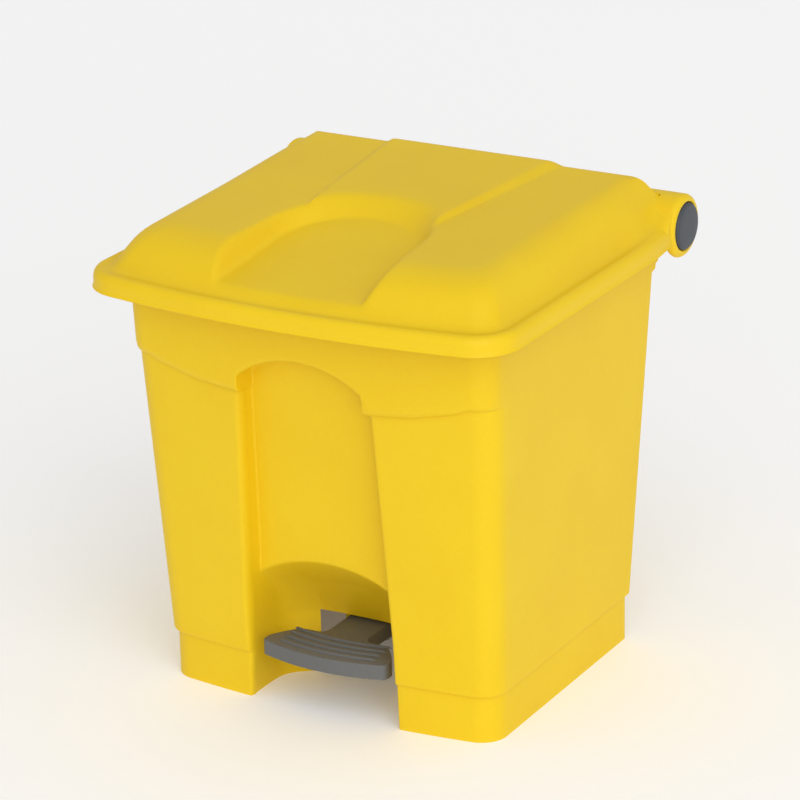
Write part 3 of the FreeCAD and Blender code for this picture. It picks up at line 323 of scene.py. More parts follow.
# how far the rail across the rear stands out at each level
RAIL_STEPS = [(RAIL_FOOT, 0), (345.9, 1.6), (347.6, 4.8), (352.0, 4.8), (352.4, 6.0), (353.8, 7.6),
              (RAIL_TOP, 7.6)]
SLOT_FOOT, SLOT_TOP = COVER_BOX[0].z / MM, COVER_BOX[1].z / MM
HOLE_HALF, HOLE_TOP = 46.0, 60.0    # opening in the niche's back wall for the pedal's arm
NICHE_BACK = -58.5                  # that wall, ahead of the origin
EDGE_START = 9.0        # the plain front stops this far outside the recess
EDGE_LAP = 1            # the columns' rounded edges end this far inside it
WALL_LEAN = 1.2         # how far the recess's side walls close in from front to back
FILLET = 1.2            # rounding where those walls meet the panel between them
APRON_ROUND = 9.0       # height over which the apron's lower edge rounds out
# levels that the row clusters are laid about, before they follow the arches and the apron's edge
LOWER_ARCH_LEVEL, APRON_ROW, ARCH_ROW, FLANGE_LEVEL = 112.0, 297.0, 325.0, 381.0
APRON_FOOT = 295.0      # lower edge of the apron in the middle

# columns of the half outline, from the middle of the rear wall round to the middle of the front
REAR = [("rear", x) for x in (0.0, 8.0)] + [("rear", CHANNEL)] + [("rear_part", k / 6) for k in range(1, 7)]
REAR_CORNER = [("rear_corner", k / 4) for k in range(1, 5)]
SIDE = [("side_gap", 8.0), ("side_gap", REAR_CUT), ("side_gap", REAR_CUT + 3)]
SIDE += [("side", k / 12) for k in range(1, 13)]
CORNER = [("corner", k / 10) for k in range(1, 11)]
FRONT = [("front", k / 7) for k in range(1, 7)]
EDGE = ([("edge", EDGE_START), ("edge", 6.5)]
        + [("round", math.radians(a)) for a in (0, 12, 24, 36, 48, 60, 72, 84, 90)])
WALL = [("wall", t) for t in (0.25, 0.5, 0.75, 1.0)] + [("fillet", math.radians(a)) for a in (30, 60, 90)]
INNER = [("inner", t) for t in (0.25, 0.5, 0.75, 1.0)]
MIDDLE = [("middle", t) for t in (0.84, 0.62, 0.4, 0.2, 0.0)]
HALF = REAR + REAR_CORNER + SIDE + CORNER + FRONT + EDGE + WALL + INNER + MIDDLE
SEAM = len(HALF) - 1
RIM_CUT_COLUMN = HALF.index(("side_gap", REAR_CUT))
HOLE_COLUMN = HALF.index(("inner", 1.0))
PATH_START = HALF.index(("wall", 0.25))

# rows: plain levels, and clusters about the lower arch (C), the apron's edge (A) and the arch (B)
SKIRT_ROWS = [0, 1.2, 5, 12, 22, 32, 38, 41.4, 42.4, 42.46, 42.7, 43.2, 44.1, 45.3, 47.5, 52, 57, HOLE_TOP]
LOWER_ARCH = [-30, -22, -15, -10, -6.5, -4, -2.2, -1, 0, 1.2, 3, 6, 11, 18]
COLUMN_ROWS = [148, 165, 185, 205, 225, 245, 262, 276]
APRON_EDGE = [-9, -4, -1.2, 0, 0.12, 0.5, 1.2, 2.4, 4.0, 6.0, 8.4]
ARCH = [(-11, "panel", 0), (-6.5, "panel", 0), (-3.2, "panel", 0), (-1.1, "panel", 0.9), (-0.2, "panel", 3),
        (0, "part", 0.66), (0, "part", 0.33), (0, "face", 3.4), (0.35, "face", 1.9), (1.0, "face", 0.9),
        (2.1, "face", 0.25), (3.6, "face", 0), (7, "face", 0)]
TOP_ROWS = [SLOT_TOP, RAIL_FOOT, 345.9, 346.6, 347.6, 349.5, 352.0, 352.4, 353.0, 353.8, RAIL_TOP,
            362, 370, 376, 379, 380.4, FLANGE_LEVEL]
# the flange under the lid: fraction of its width, and its level there
RIM_ROWS = [(0.05, FLANGE_LEVEL), (0.5, FLANGE_LEVEL), (0.93, FLANGE_LEVEL), (0.985, 381.15), (1.0, 381.6)]


def body_rows():
    """(kind, level, extra) for each row, from the floor to the rim's edge."""
    rows = [("plain", level, None) for level in SKIRT_ROWS]
    rows += [("plain", LOWER_ARCH_LEVEL + offset, None) for offset in LOWER_ARCH]
    rows += [("plain", level, None) for level in COLUMN_ROWS]
    rows += [("plain", APRON_ROW + offset, None) for offset in APRON_EDGE]
    rows += [("arch", ARCH_ROW + offset, (kind, amount)) for offset, kind, amount in ARCH]
    rows += [("plain", level, None) for level in TOP_ROWS]
    rows += [("rim", level, part) for part, level in RIM_ROWS]
    return rows


# the niche's side wall in plan: x from the recess's edge, and y
NICHE_PATH = [(-0.2, -124.0), (-0.5, -103.9), (-1.2, -88.0), (-3.5, -79.7), (-8.0, -73.2), (-18.6, -64.8)]


class BodyShape:
    """Where each point of the body's outer skin lies, in millimetres."""

    def __init__(self, s):
        self.s = s
        self.v = {name: getattr(s, name) / MM for name in (
            "wall", "half_width", "front", "rear", "skirt_height", "skirt_step", "bow", "corner",
            "apron", "apron_proud", "recess_foot", "recess_top", "arch_spring", "arch_top",
            "column_edge", "rim_half", "rim_front")}

    def rear(self, z):
        v = self.v
        if z <= v["skirt_height"]:
            return v["rear"]
        return v["rear"] + self.step(z) + (z - v["skirt_height"]) * self.s.rear_draft

    def step(self, z):
        """Rounded lower edge of the upper body over the skirt."""
        v = self.v
        rise = clamp((z - v["skirt_height"]) / v["skirt_step"])
        return v["skirt_step"] * math.sqrt(1 - (1 - rise) ** 2)

    def plan(self, z, proud):
        v = self.v
        rise = max(0.0, z - v["skirt_height"])
        step = self.step(z)
        front = v["front"] + step + rise * self.s.front_draft
        apron = (v["front"] + v["skirt_step"] + (v["apron"] - v["skirt_height"]) * self.s.front_draft
                 + v["apron_proud"] + (z - v["apron"]) * 0.023)
        return Plan(v["half_width"] + step + rise * self.s.side_draft, mix(front, apron, proud),
                    self.rear(z), v["bow"], v["corner"])

    def recess_half(self, z):
        v = self.v
        return table([(0, v["recess_foot"]), (v["apron"], v["recess_top"] + 0.4),
                      (v["apron"] + 1, v["recess_top"] - 1.2), (600, v["recess_top"] - 1.2)], z)

    def edge_radius(self, z):
        """The columns' inner edges are well rounded, the apron's are crisp."""
        return table([(0, 5.0), (42, 6.0), (80, self.v["column_edge"]),
                      (self.v["apron"] - 1, self.v["column_edge"]), (self.v["apron"] + 0.5, 2.6)], z)

    def panel(self, z):
        """Face of the recess panel."""
        return table([(0, -121.0), (139, -121.0), (309, -137.0), (400, -139.0)], z)

    def lower_arch(self, x):
        return LOWER_ARCH_LEVEL + 23.5 * max(0.0, 1 - (x / 72) ** 2) ** 0.8

    def apron_edge(self, x):
        return table([(0, APRON_FOOT), (62, APRON_FOOT), (103, 298), (139, 306), (162, 311), (182, 313)],
                     abs(x))

    def arch(self, x):
        v = self.v
        half, rise = v["recess_top"], v["arch_top"] - v["arch_spring"]
        radius = (half * half + rise * rise) / (2 * rise)
        if abs(x) < half:
            return v["arch_top"] - radius + math.sqrt(radius ** 2 - x * x)
        return v["arch_spring"] + 0.85 * (self.apron_edge(x) - APRON_FOOT) + 0.02 * (abs(x) - half)

    def level(self, nominal, x):
        """Nominal row level moved to follow the two arches and the apron's edge."""
        shift = table([(HOLE_TOP, 0), (LOWER_ARCH_LEVEL, self.lower_arch(x) - LOWER_ARCH_LEVEL), (175, 0),
                       (280, 0), (APRON_ROW, self.apron_edge(x) - APRON_ROW),
                       (ARCH_ROW, self.arch(x) - ARCH_ROW), (344, 0)], nominal)
        return nominal + shift

    def point(self, column, row):
        v = self.v
        kind, amount = column
        row_kind, nominal, extra = row
        # x is needed before the level, so it is read first at the nominal level
        x_guess = self.guess_x(column, nominal)
        z = nominal if row_kind == "rim" else self.level(nominal, x_guess)
        edge = self.apron_edge(x_guess)
        rise = clamp((z - edge) / APRON_ROUND)
        proud = math.sqrt(1 - (1 - rise) ** 2) if z > edge else 0.0
        plan = self.plan(z, proud)
        if row_kind == "rim":
            plan = self.plan(FLANGE_LEVEL, 1.0)
            outer = Plan(v["rim_half"], v["rim_front"], plan.rear + 2, 19.8, 34.5)
            inner = self.outline_point(plan, column, z, 0.0)
            wide = self.outline_point(outer, column, z, 0.0)
            return Vector((mix(inner[0], wide[0], extra), mix(inner[1], wide[1], extra), nominal))
        if row_kind == "arch":
            recessed = extra
        elif nominal < ARCH_ROW:
            recessed = ("panel", 0)
        else:
            recessed = ("face", 0)
        x, y = self.outline_point(plan, column, z, 1.0, recessed)
        if kind.startswith("rear"):
            y += table(RAIL_STEPS, z)
            if kind == "rear_corner":
                x += 0.45 * table(RAIL_STEPS, z) * (1 - amount)
        return Vector((x, y, z))

    def guess_x(self, column, z):
        kind, amount = column
        if kind in ("edge", "round", "wall", "fillet", "inner", "middle"):
            return self.front_x(column, z)
        if kind == "front":
            plan = self.plan(z, 0.0)
            return mix(plan.front_x, self.recess_half(z) + EDGE_START, amount)
        return 170.0

    def front_x(self, column, z):
        kind, amount = column
        half = self.recess_half(z)
        if kind == "edge":
            return half + amount
        if kind == "round":
            return half - EDGE_LAP + 0.5 * self.edge_radius(z) * (1 - math.sin(amount))
        if kind == "wall":
            return half - EDGE_LAP - WALL_LEAN * amount
        if kind == "fillet":
            return half - (EDGE_LAP + WALL_LEAN) - FILLET * math.sin(amount)
        if kind == "inner":
            return mix(half - (EDGE_LAP + WALL_LEAN + FILLET), HOLE_HALF, amount)
        return HOLE_HALF * amount

    def outline_point(self, plan, column, z, recess, recessed=("panel", 0)):
        """(x, y) of a column on a plan outline, with the recess let in by the row's own profile."""
        kind, amount = column
        if kind == "rear":
            return amount, plan.rear
        if kind == "rear_part":
            return mix(CHANNEL, plan.half - REAR_ROUND, amount), plan.rear
        if kind == "rear_corner":
            a = amount * math.pi / 2
            return (plan.half - REAR_ROUND + REAR_ROUND * math.sin(a),
                    plan.rear - REAR_ROUND + REAR_ROUND * math.cos(a))
        if kind == "side_gap":
            return plan.half, plan.rear - amount
        if kind == "side":
            return plan.half, mix(plan.rear - REAR_CUT - 3, plan.corner_y, amount)
        if kind == "corner":
            return plan.corner_point(amount)
        if kind == "front":
            x = mix(plan.front_x, self.recess_half(z) + EDGE_START, amount)
            return x, plan.face(x)
        x = self.front_x(column, z)
        face = plan.face(x)
        if not recess:
            return x, face
        panel = self.panel(z)
        depth = panel - face
        row_kind, row_amount = recessed
        share = {"panel": 1 - row_amount / depth, "face": row_amount / depth, "part": row_amount}[row_kind]
        radius = self.edge_radius(z)
        if kind == "edge":
            into = 0.0
        elif kind == "round":
            into = radius * (1 - math.cos(amount)) / depth
        elif kind == "wall":
            into = mix(radius, depth - FILLET, amount) / depth
        elif kind == "fillet":
            into = 1 - FILLET * (1 - math.sin(amount)) / depth
        else:
            into = 1.0
        y = face + depth * into * share
        # below the lower arch the sheet turns back into the pedal niche
        arch = self.lower_arch(x)
        if z < arch + 4 and HALF.index(column) >= PATH_START:
            t = softened(arch - z, 1.6) / (arch - 58)
            back = 1 - (1 - clamp(t)) ** 1.7
            if kind in ("wall", "fillet", "inner"):
                half = self.recess_half(z)
                path = [(half - EDGE_LAP, face + radius)] + [(half + dx, py) for dx, py in NICHE_PATH]
                path.append((HOLE_HALF, NICHE_BACK))
                nx, ny = along(path, (HALF.index(column) - PATH_START + 1) / (HOLE_COLUMN - PATH_START + 1))
            else:
                nx, ny = x, NICHE_BACK + 2.0 * (1 - (x / HOLE_HALF) ** 2)
            x, y = mix(x, nx, back), mix(y, ny, back)
        return x, y


def build_body(s):
    shape = BodyShape(s)
    rows = body_rows()
    bm = bmesh.new()

    def place(i, j):
        side = 1 if i <= SEAM else -1
        at = shape.point(HALF[i if i <= SEAM else 2 * SEAM - i], rows[j])
        at.x *= side
        return at

    grid = fitted_sheet(bm, 2 * SEAM, len(rows) - 1, place)
    rail = next(j for j, row in enumerate(rows) if row[1] == RAIL_TOP)
    hole = next(j for j, row in enumerate(rows) if row[1] == HOLE_TOP)
    slot_top = next(j for j, row in enumerate(rows) if row[1] == SLOT_TOP)
    slot_foot = next(j for j, row in enumerate(rows) if row[1] >= SLOT_FOOT)
    for i in range(-3, 4):
        grid[i % (2 * SEAM), slot_foot].co.z = SLOT_FOOT
    gone = []
    for i in range(2 * SEAM):
        k = min(i, 2 * SEAM - 1 - i)
        if k < RIM_CUT_COLUMN:
            gone += [(i, j) for j in range(rail, len(rows) - 1)]
        if k < 2:
            gone += [(i, j) for j in range(slot_foot, slot_top)]
        if k >= HOLE_COLUMN:
            gone += [(i, j) for j in range(hole)]
    cut_cells(bm, grid, gone)
    bmesh.ops.remove_doubles(bm, verts=bm.verts, dist=0.004)
    faces = list(bm.faces)
    on_side = Vector((shape.plan(200, 0).half, 0, 200))
    near = min(faces, key=lambda f: (f.calc_center_median() - on_side).length)
    faces.remove(near)
    facing(bm, [near] + faces, Vector((1, 0, 0)))
    give_wall(bm, bm.faces[:], shape.v["wall"])
    return bm, shape


def add_floor(bm, shape):
    """Floor of the bin, between the niche and the rod channel."""
    top, underside = 81.5, 80.0
    plan = shape.plan(top, 0.0)
    inside = 1.5        # the floor's edge ends within the wall
    front = []
    for column in HALF[PATH_START:HOLE_COLUMN + 1] + MIDDLE:
        x, y = shape.outline_point(plan, column, top, 1.0)
        front.append((x, y + inside))
    front = sorted(front)
    xs = [0, 8, 15.9, 16.1, 30, 45, 55, 62, 67, 70, 72, 74, 78, 90, 110, 130, 150, plan.half - inside]
    xs = [-x for x in reversed(xs[1:])] + xs

    def front_y(x):
        x = abs(x)
        if x > 76:
            if x > plan.half - plan.corner:
                side = x - (plan.half - plan.corner)
                return plan.corner_y - math.sqrt(max(0.0, plan.corner ** 2 - side ** 2)) + inside
            return plan.face(x) + inside
        return table(front, x)

    def place(i, j):
        x = xs[i]
        y0 = front_y(x)
        y1 = plan.rear - inside if abs(x) > 16 else 108.0
        return Vector((x, mix(y0, y1, j / 8), underside))

    part = bmesh.new()
    fitted_sheet(part, len(xs) - 1, 8, place)
    facing(part, list(part.faces), Vector((0, 0, -1)))
    give_wall(part, part.faces[:], 3.0)
    take(bm, part)


def take(bm, part):
    """Move the contents of one bmesh into another."""
    mesh = bpy.data.meshes.new("part")
    part.to_mesh(mesh)
    part.free()
    bm.from_mesh(mesh)
    bpy.data.meshes.remove(mesh)


def add_channel(bm, shape):
    """U-shaped channel inside the rear wall, where the lift rod runs."""
    part = bmesh.new()
    bend = [(16 - 4 * (1 - math.cos(a)), 4 * (1 - math.sin(a))) for a in
            [math.radians(d) for d in (0, 22.5, 45, 67.5, 90)]]
    half = [(x, y, 0) for x, y in bend] + [(0, 0, 0)]
    path = [(16, 0, 1)] + half + [(-x, y, 0) for x, y, _ in reversed(half[:-1])] + [(-16, 0, 1)]

    def place(i, j):
        z = mix(SLOT_FOOT - 0.2, RAIL_TOP - 0.2, j / 6)
        inner = mix(107.0, 133.5, (z - 80) / 277)
        x, back, at_wall = path[i]
        return Vector((x, shape.rear(z) - 1.0 if at_wall else inner + back, z))

    fitted_sheet(part, len(path) - 1, 6, place)
    faces = sorted(part.faces, key=lambda f: f.calc_center_median().y)
    facing(part, faces, Vector((0, -1, 0)))
    give_wall(part, part.faces[:], 3.5)
    take(bm, part)


def add_ears(bm, shape, hinge):
    """Ears that stand up from the rear wall into the lid's barrel."""
    y, z = hinge.axis_y / MM, hinge.axis_z / MM
    wall = shape.rear(RAIL_FOOT)
    outline = [(wall - 3, 306), (wall + 4, 346), (wall + 4, RAIL_TOP), (y + 9.9, z - 4.7),
               (y - 9.9, z + 4.7), (wall - 8, RAIL_TOP)]
    thick = 10
    for side in (1, -1):
        start = 140 if side > 0 else -150
        web = bm.faces.new([bm.verts.new((start, py, pz)) for py, pz in outline])
        made = bmesh.ops.extrude_face_region(bm, geom=[web])
        moved = [g for g in made["geom"] if isinstance(g, bmesh.types.BMVert)]
        bmesh.ops.translate(bm, vec=(thick, 0, 0), verts=moved)
        faces = {f for v in moved + list(web.verts) for f in v.link_faces}
        bmesh.ops.recalc_face_normals(bm, faces=list(faces))
        matrix = Matrix.Translation((start + thick / 2, y, z)) @ Matrix.Rotation(math.pi / 2, 4, "Y")
        bmesh.ops.create_cone(bm, cap_ends=True, segments=40, radius1=11, radius2=11,
                              depth=thick + 0.2, matrix=matrix)


def add_lugs(bm):
    """Two lugs under the floor that carry the pedal's axle."""
    y = (AXLE_BOX[0].y + AXLE_BOX[1].y) / 2 / MM
    thick, reach, foot, top = 7, 16, 22, 80.5
    for start in (43.5, -50.5):
        block(bm, (start, y - reach, foot), (start + thick, y + reach, top), 1.0)


# ---------------------------------------------------------------- lid moulding

LID_SIDE = 22           # cells down each side of the lid
LID_CORNER = 12         # cells round each front corner, even
FRONT_FRACTIONS = sorted({round(x / 137, 5) for x in
                          [0, 110, 122, 137] + [2.2 * k for k in range(1, 45)]})
# skirt, bead and groove: how far in from the widest outline, and how far over the lower edge
SKIRT_PROFILE = [(1.6, 0.0), (0.5, 0.0), (-0.5, 0.3), (-1.0, 0.95), (-0.6, 1.8), (-0.1, 2.8), (0.0, 5.0),
                 (0.0, 8.5), (0.2, 11.0), (0.7, 13.0), (1.6, 14.8), (2.8, 16.1), (4.2, 16.9), (5.8, 17.2),
                 (7.4, 17.1), (9.0, 16.8), (10.6, 16.5), (12.2, 16.5), (13.9, 16.9), (15.8, 17.8),
                 (17.9, 19.6)]
# dome slope: fraction from foot to head across the plan, and up
SLOPE_PROFILE = [(0.0, 0.0), (0.05, 0.07), (0.13, 0.2), (0.21, 0.33), (0.3, 0.46)]
ROUND_STEPS = [k / 9 for k in range(1, 10)]
ROUND_CORNER, ROUND_REACH = 0.66, 0.42      # where the slope would meet the top, and how far it rounds on
HEAD_TAPER = [(-150, 0.985), (0, 0.99), (148, 1.02)]     # the dome's top widens to the rear
REAR_LIFT = 11.0        # how much the groove rises where the sides run into the barrel
SINK = 1.6              # the lid's sheet runs this far under the barrel's surface
BLEND_START, BLEND_RUN, BLEND_WIDTH = 100, 35, 7.0      # the fillet that runs the lid into the barrel
DRAWN_START, DRAWN_RUN = 95, 60     # where the sides start to draw in to the barrel's end, and how fast
# raised strip: where it starts to widen, over what run, its half widths and its flanks' widths
STRIP_START, STRIP_RUN = -40, 190
STRIP_HALF = (60, 78)
STRIP_FLANK, STRIP_FLANK_RIGHT, STRIP_FLANK_LEFT = 3.0, 17.0, 7.0
STRIP_END, STRIP_END_RUN = -66, 30      # its front end fades in over this run
PANEL_GRADE = (2.1, 0.56)               # steepness of the sunk panel's flanks: sides, apex


class LidShape:
    """Where each point of the lid's outer skin lies, in millimetres."""

    def __init__(self, s, hinge):
        self.s = s
        self.v = {name: getattr(s, name) / MM for name in (
            "wall", "half_width", "front", "bow", "corner", "level", "dome_half", "dome_front",
            "dome_rear", "dome_level", "panel_half", "panel_apex", "panel_level", "strip_proud")}
        self.axis_y, self.axis_z = hinge.axis_y / MM, hinge.axis_z / MM
        self.barrel = hinge.barrel / MM
        self.barrel_end = hinge.barrel_half / MM
        front = FRONT_FRACTIONS
        sides = [k / LID_SIDE for k in range(LID_SIDE + 1)]
        # columns run from the rear's middle round the right side, and back round the left
        self.columns = ([("rear", f) for f in front]
                        + [("rear_end", k / (LID_CORNER // 2)) for k in range(1, LID_CORNER // 2 + 1)]
                        + [("side", t) for t in sides[1:]]
                        + [("corner", k / LID_CORNER) for k in range(1, LID_CORNER + 1)]
                        + [("front", f) for f in reversed(front[:-1])])
        self.seam = len(self.columns) - 1
        self.rear_count = len(front) - 1 + LID_CORNER // 2
        self.head = Plan(self.v["dome_half"], self.v["dome_front"], self.v["dome_rear"], 13.0, 22.0)
        inset = SKIRT_PROFILE[-1][0]
        self.foot = Plan(self.v["half_width"] - inset, self.v["front"] - inset, self.axis_y - 4,
                         self.v["bow"], self.v["corner"] - inset)

    def on(self, plan, column):
        kind, amount = column
        if kind == "rear":
            return plan.front_x * amount, plan.rear
        if kind == "rear_end":
            return mix(plan.front_x, plan.half, amount), plan.rear
        if kind == "side":
            return plan.half, mix(plan.rear, plan.corner_y, amount)
        if kind == "corner":
            return plan.corner_point(amount)
        x = plan.front_x * amount
        return x, plan.face(x)

    def top(self, y):
        """Level of the dome's top plane."""
        return self.v["dome_level"] + self.s.dome_rise * y

    def relief(self, x, y, z):
        """Raised strip and arched sunk panel worked into the dome."""
        v = self.v
        # the strip widens to the rear, and so do its flanks
        run = clamp((y - STRIP_START) / STRIP_RUN)
        half = mix(*STRIP_HALF, run)
        flank = mix(STRIP_FLANK, STRIP_FLANK_RIGHT if x > 0 else STRIP_FLANK_LEFT, run)
        on_top = clamp((z - (self.top(y) - 14)) / 12)
        begun = ease((y - STRIP_END) / STRIP_END_RUN)
        z += v["strip_proud"] * (1 - ease((abs(x) - half) / flank)) * begun * ease(on_top)
        # the sunk panel is an arch in plan, with steep flanks at its sides and a long soft one at its apex
        centre = -(v["panel_apex"] + v["panel_half"])
        if y < centre:
            out, lead = abs(x) - v["panel_half"] - 0.04 * (centre - y), 0.0
        else:
            far = math.hypot(x, y - centre)
            out, lead = far - v["panel_half"], (y - centre) / max(far, 1e-6)
        grade = mix(*PANEL_GRADE, ease(lead * 1.1))
        floor = v["panel_level"] + self.s.panel_rise * y
        cut = floor + grade * softened(out, 1.2)
        return lower_of(z, cut, mix(2.2, 3.4, ease(lead)) if out > -4 else 2.2)

    def point(self, column, row, side=1):
        kind, value = row
        v = self.v
        if kind == "skirt":
            inset, rise = value
            plan = Plan(v["half_width"] - inset, v["front"] - inset, self.axis_y - 7, v["bow"],
                        max(1.0, v["corner"] - inset))
            x, y = self.on(plan, column)
            z = v["level"] + rise
            if inset > 4:
                z += REAR_LIFT * self.rearward(y) * (inset - 4) / (SKIRT_PROFILE[-1][0] - 4)
            at = self.narrow(x, y, z) if rise < 12 else self.settle(x, y, z)
            at.x *= side
            return at
        across, up = value
        fx, fy = self.on(self.foot, column)
        hx, hy = self.on(self.head, column)
        hx *= table(HEAD_TAPER, hy)
        x, y = mix(fx, hx, across), mix(fy, hy, across)
        foot = v["level"] + SKIRT_PROFILE[-1][1]
        z = foot + (self.top(y) - foot) * up
        z += REAR_LIFT * self.rearward(y) * (1 - ease(up / 0.7))
        x *= side
        z = self.relief(x, y, z)
        return self.settle(x, y, z)

    def rearward(self, y):
        """0 along most of the lid, rising to 1 where its sides run into the barrel."""
        start = 55
        return ease((y - start) / (self.axis_y - 20 - start))

    def settle(self, x, y, z):
        """Blend a point into the barrel with a wide fillet, and draw the sides in to its end."""
        near = y - self.axis_y
        if near > -self.barrel:
            crest = self.axis_z + math.sqrt(max(0.0, self.barrel ** 2 - min(near, 0.0) ** 2))
        else:
            crest = self.axis_z - (-self.barrel - near) * 2.5
        if y > BLEND_START:
            sunk = crest - SINK
            width = BLEND_WIDTH * clamp((y - BLEND_START) / BLEND_RUN)
            z = sunk + softened(z - sunk, width * (1 - 0.8 * ease((y - self.axis_y + 16) / 10)))
        x -= math.copysign(self.drawn_in(y) * ease((abs(x) - 120) / 70), x)
        return self.clear_of_barrel(Vector((x, y, z)))

    def drawn_in(self, y):
        """How far the sides are drawn in at y, so that they end on the barrel's end."""
        end = self.v["half_width"] - self.barrel_end + 2.2
        return end * ease((y - DRAWN_START) / DRAWN_RUN)

    def narrow(self, x, y, z):
        """Draw the skirt's side in to the barrel's end."""
        if abs(x) > 150:
            x -= math.copysign(self.drawn_in(y), x)
        return Vector((x, y, z))

    def clear_of_barrel(self, at):
        """Points well inside the barrel move out to just under its surface."""
        dy, dz = at.y - self.axis_y, at.z - self.axis_z
        far, least = math.hypot(dy, dz), self.barrel - 1.5
        if far < least:
            push = least / max(far, 1e-6)
            at.y, at.z = self.axis_y + dy * push, self.axis_z + dz * push
        return at


def build_lid(s, hinge):
    shape = LidShape(s, hinge)
    rows = [("skirt", p) for p in SKIRT_PROFILE]
    slope = list(SLOPE_PROFILE[1:])
    start = slope[-1]
    for t in ROUND_STEPS:
        # quadratic rounding from the slope on to the top
        across = (1 - t) ** 2 * start[0] + 2 * t * (1 - t) * ROUND_CORNER + t * t * (1 + ROUND_REACH)
        up = (1 - t) ** 2 * start[1] + 2 * t * (1 - t) + t * t
        slope.append((across, up))
    rows += [("dome", p) for p in slope]
    seam, columns = shape.seam, shape.columns
    bm = bmesh.new()

    def place(i, j):
        side = 1 if i <= seam else -1
        return shape.point(columns[i if i <= seam else 2 * seam - i], rows[j], side)

    ring = fitted_sheet(bm, 2 * seam, len(rows) - 1, place)
    gone = []
    for i in range(2 * seam):
        k = min(i, 2 * seam - 1 - i)
        if columns[k][0] in ("rear", "rear_end") and columns[k + 1][0] in ("rear", "rear_end"):
            gone += [(i, j) for j in range(len(SKIRT_PROFILE) - 1)]
    edge = [ring[i, len(rows) - 1].co.copy() for i in range(2 * seam + 1)]
    cut_cells(bm, ring, gone)
    # the top is a sheet stretched between the four sides of the ring's last row
    across = 2 * shape.rear_count
    down = LID_SIDE + LID_CORNER // 2
    right = shape.rear_count
    rear = [edge[(right - k) % (2 * seam)] for k in range(across + 1)]
    side_r = [edge[right + k] for k in range(down + 1)]
    front = [edge[right + down + k] for k in range(across + 1)]
    side_l = [edge[(2 * seam - right - k)] for k in range(down + 1)]

    # finer rows than the ring's sides would give, so the sunk panel's arch is smooth
    fine = 4

    def read(line, t):
        t = clamp(t) * (len(line) - 1)
        i = min(int(t), len(line) - 2)
        return line[i].lerp(line[i + 1], t - i)

    def top_place(i, j):
        t = j / (down * fine)
        a, b = rear[i], front[i]
        s0 = (a.x - rear[0].x) / (rear[-1].x - rear[0].x)
        l, r = read(side_r, t), read(side_l, t)
        at = (a.lerp(b, t) + l.lerp(r, s0)
              - (rear[0].lerp(rear[-1], s0)).lerp(front[0].lerp(front[-1], s0), t))
        if 0 < i < across and 0 < j < down * fine:
            at = shape.settle(at.x, at.y, shape.relief(at.x, at.y, shape.top(at.y)))
        return at

    fitted_sheet(bm, across, down * fine, top_place)
    # the ring has one point where the sheet has four, so its sides are divided to match
    side_edges = []
    last = len(rows) - 1
    for k in range(down):
        for i in (right + k, 2 * seam - right - k - 1):
            side_edges.append(bm.edges.get((ring[i, last], ring[i + 1, last])))
    bmesh.ops.subdivide_edges(bm, edges=[e for e in side_edges if e], cuts=fine - 1)
    bmesh.ops.remove_doubles(bm, verts=bm.verts, dist=0.02)
    faces = list(bm.faces)
    on_dome = Vector((60, 60, 430))
    near = min(faces, key=lambda f: (f.calc_center_median() - on_dome).length)
    faces.remove(near)
    facing(bm, [near] + faces, Vector((0, 0, 1)))
    give_wall(bm, bm.faces[:], shape.v["wall"])
    return bm, shape


def add_barrel(bm, shape, hinge):
    """Barrel along the rear of the lid, with rounded ends, cap seats and slots underneath."""
    part = bmesh.new()
    radius, edge = shape.barrel, hinge.barrel_edge / MM
    half, y, z = hinge.barrel_half / MM, shape.axis_y, shape.axis_z
    bore = hinge.cap / MM + 1.1
    slots = ((0, 11.5), (137, 150.5))       # open underneath for the rod, and for the body's two ears
    lift = 5.5                              # how much higher the underside is between the ends
    profile = [(x, radius) for x in (0, 11.5, 60, 110, 137, 150.5, 175, 188, 191, 193)]
    profile += [(half - edge + edge * math.sin(a), radius - edge + edge * math.cos(a))
                for a in [math.radians(d) for d in (0, 15, 30, 45, 60, 75, 90)]]
    profile += [(half, bore + 0.3), (half - 0.3, bore), (half - 8, bore)]
    for side in (1, -1):
        turned(part, profile, y, z, sign=side)
    bmesh.ops.remove_doubles(part, verts=part.verts, dist=0.01)
    for vert in part.verts:
        below = ease((z - vert.co.z) / 14)
        inside = 1 - ease((abs(vert.co.x) - 190) / 4)
        vert.co.z += lift * below * inside
    gone = [f for f in part.faces if f.calc_center_median().z < z - 5 and
            any(lo < abs(f.calc_center_median().x) < hi for lo, hi in slots)]
    bmesh.ops.delete(part, geom=gone, context="FACES")
    faces = sorted(part.faces, key=lambda f: -f.calc_center_median().z)
    facing(part, faces, Vector((0, 0, 1)))
    give_wall(part, part.faces[:], shape.v["wall"])
    # webs across the barrel that hold the hinge bushes
    x0, x1, hole, rim = 153.0, 159.0, 7.1, radius - 1.5
    web = [(x0, hole), (x1, hole), (x1, rim), (x0, rim), (x0, hole)]
    for side in (1, -1):
        turned(part, web, y, z, steps=48, sign=side)
    bmesh.ops.remove_doubles(part, verts=part.verts, dist=0.01)
    take(bm, part)


# ---------------------------------------------------------------- treadle

TREAD_DEPTH = 1.9       # the tread lies this far under its lip
RIDGE_WIDTH, RIDGE_REACH = 3.0, 49.0
FIRST_RIDGE, RIDGE_PITCH = 10.5, 9.3    # behind the front edge, and from one ridge to the next


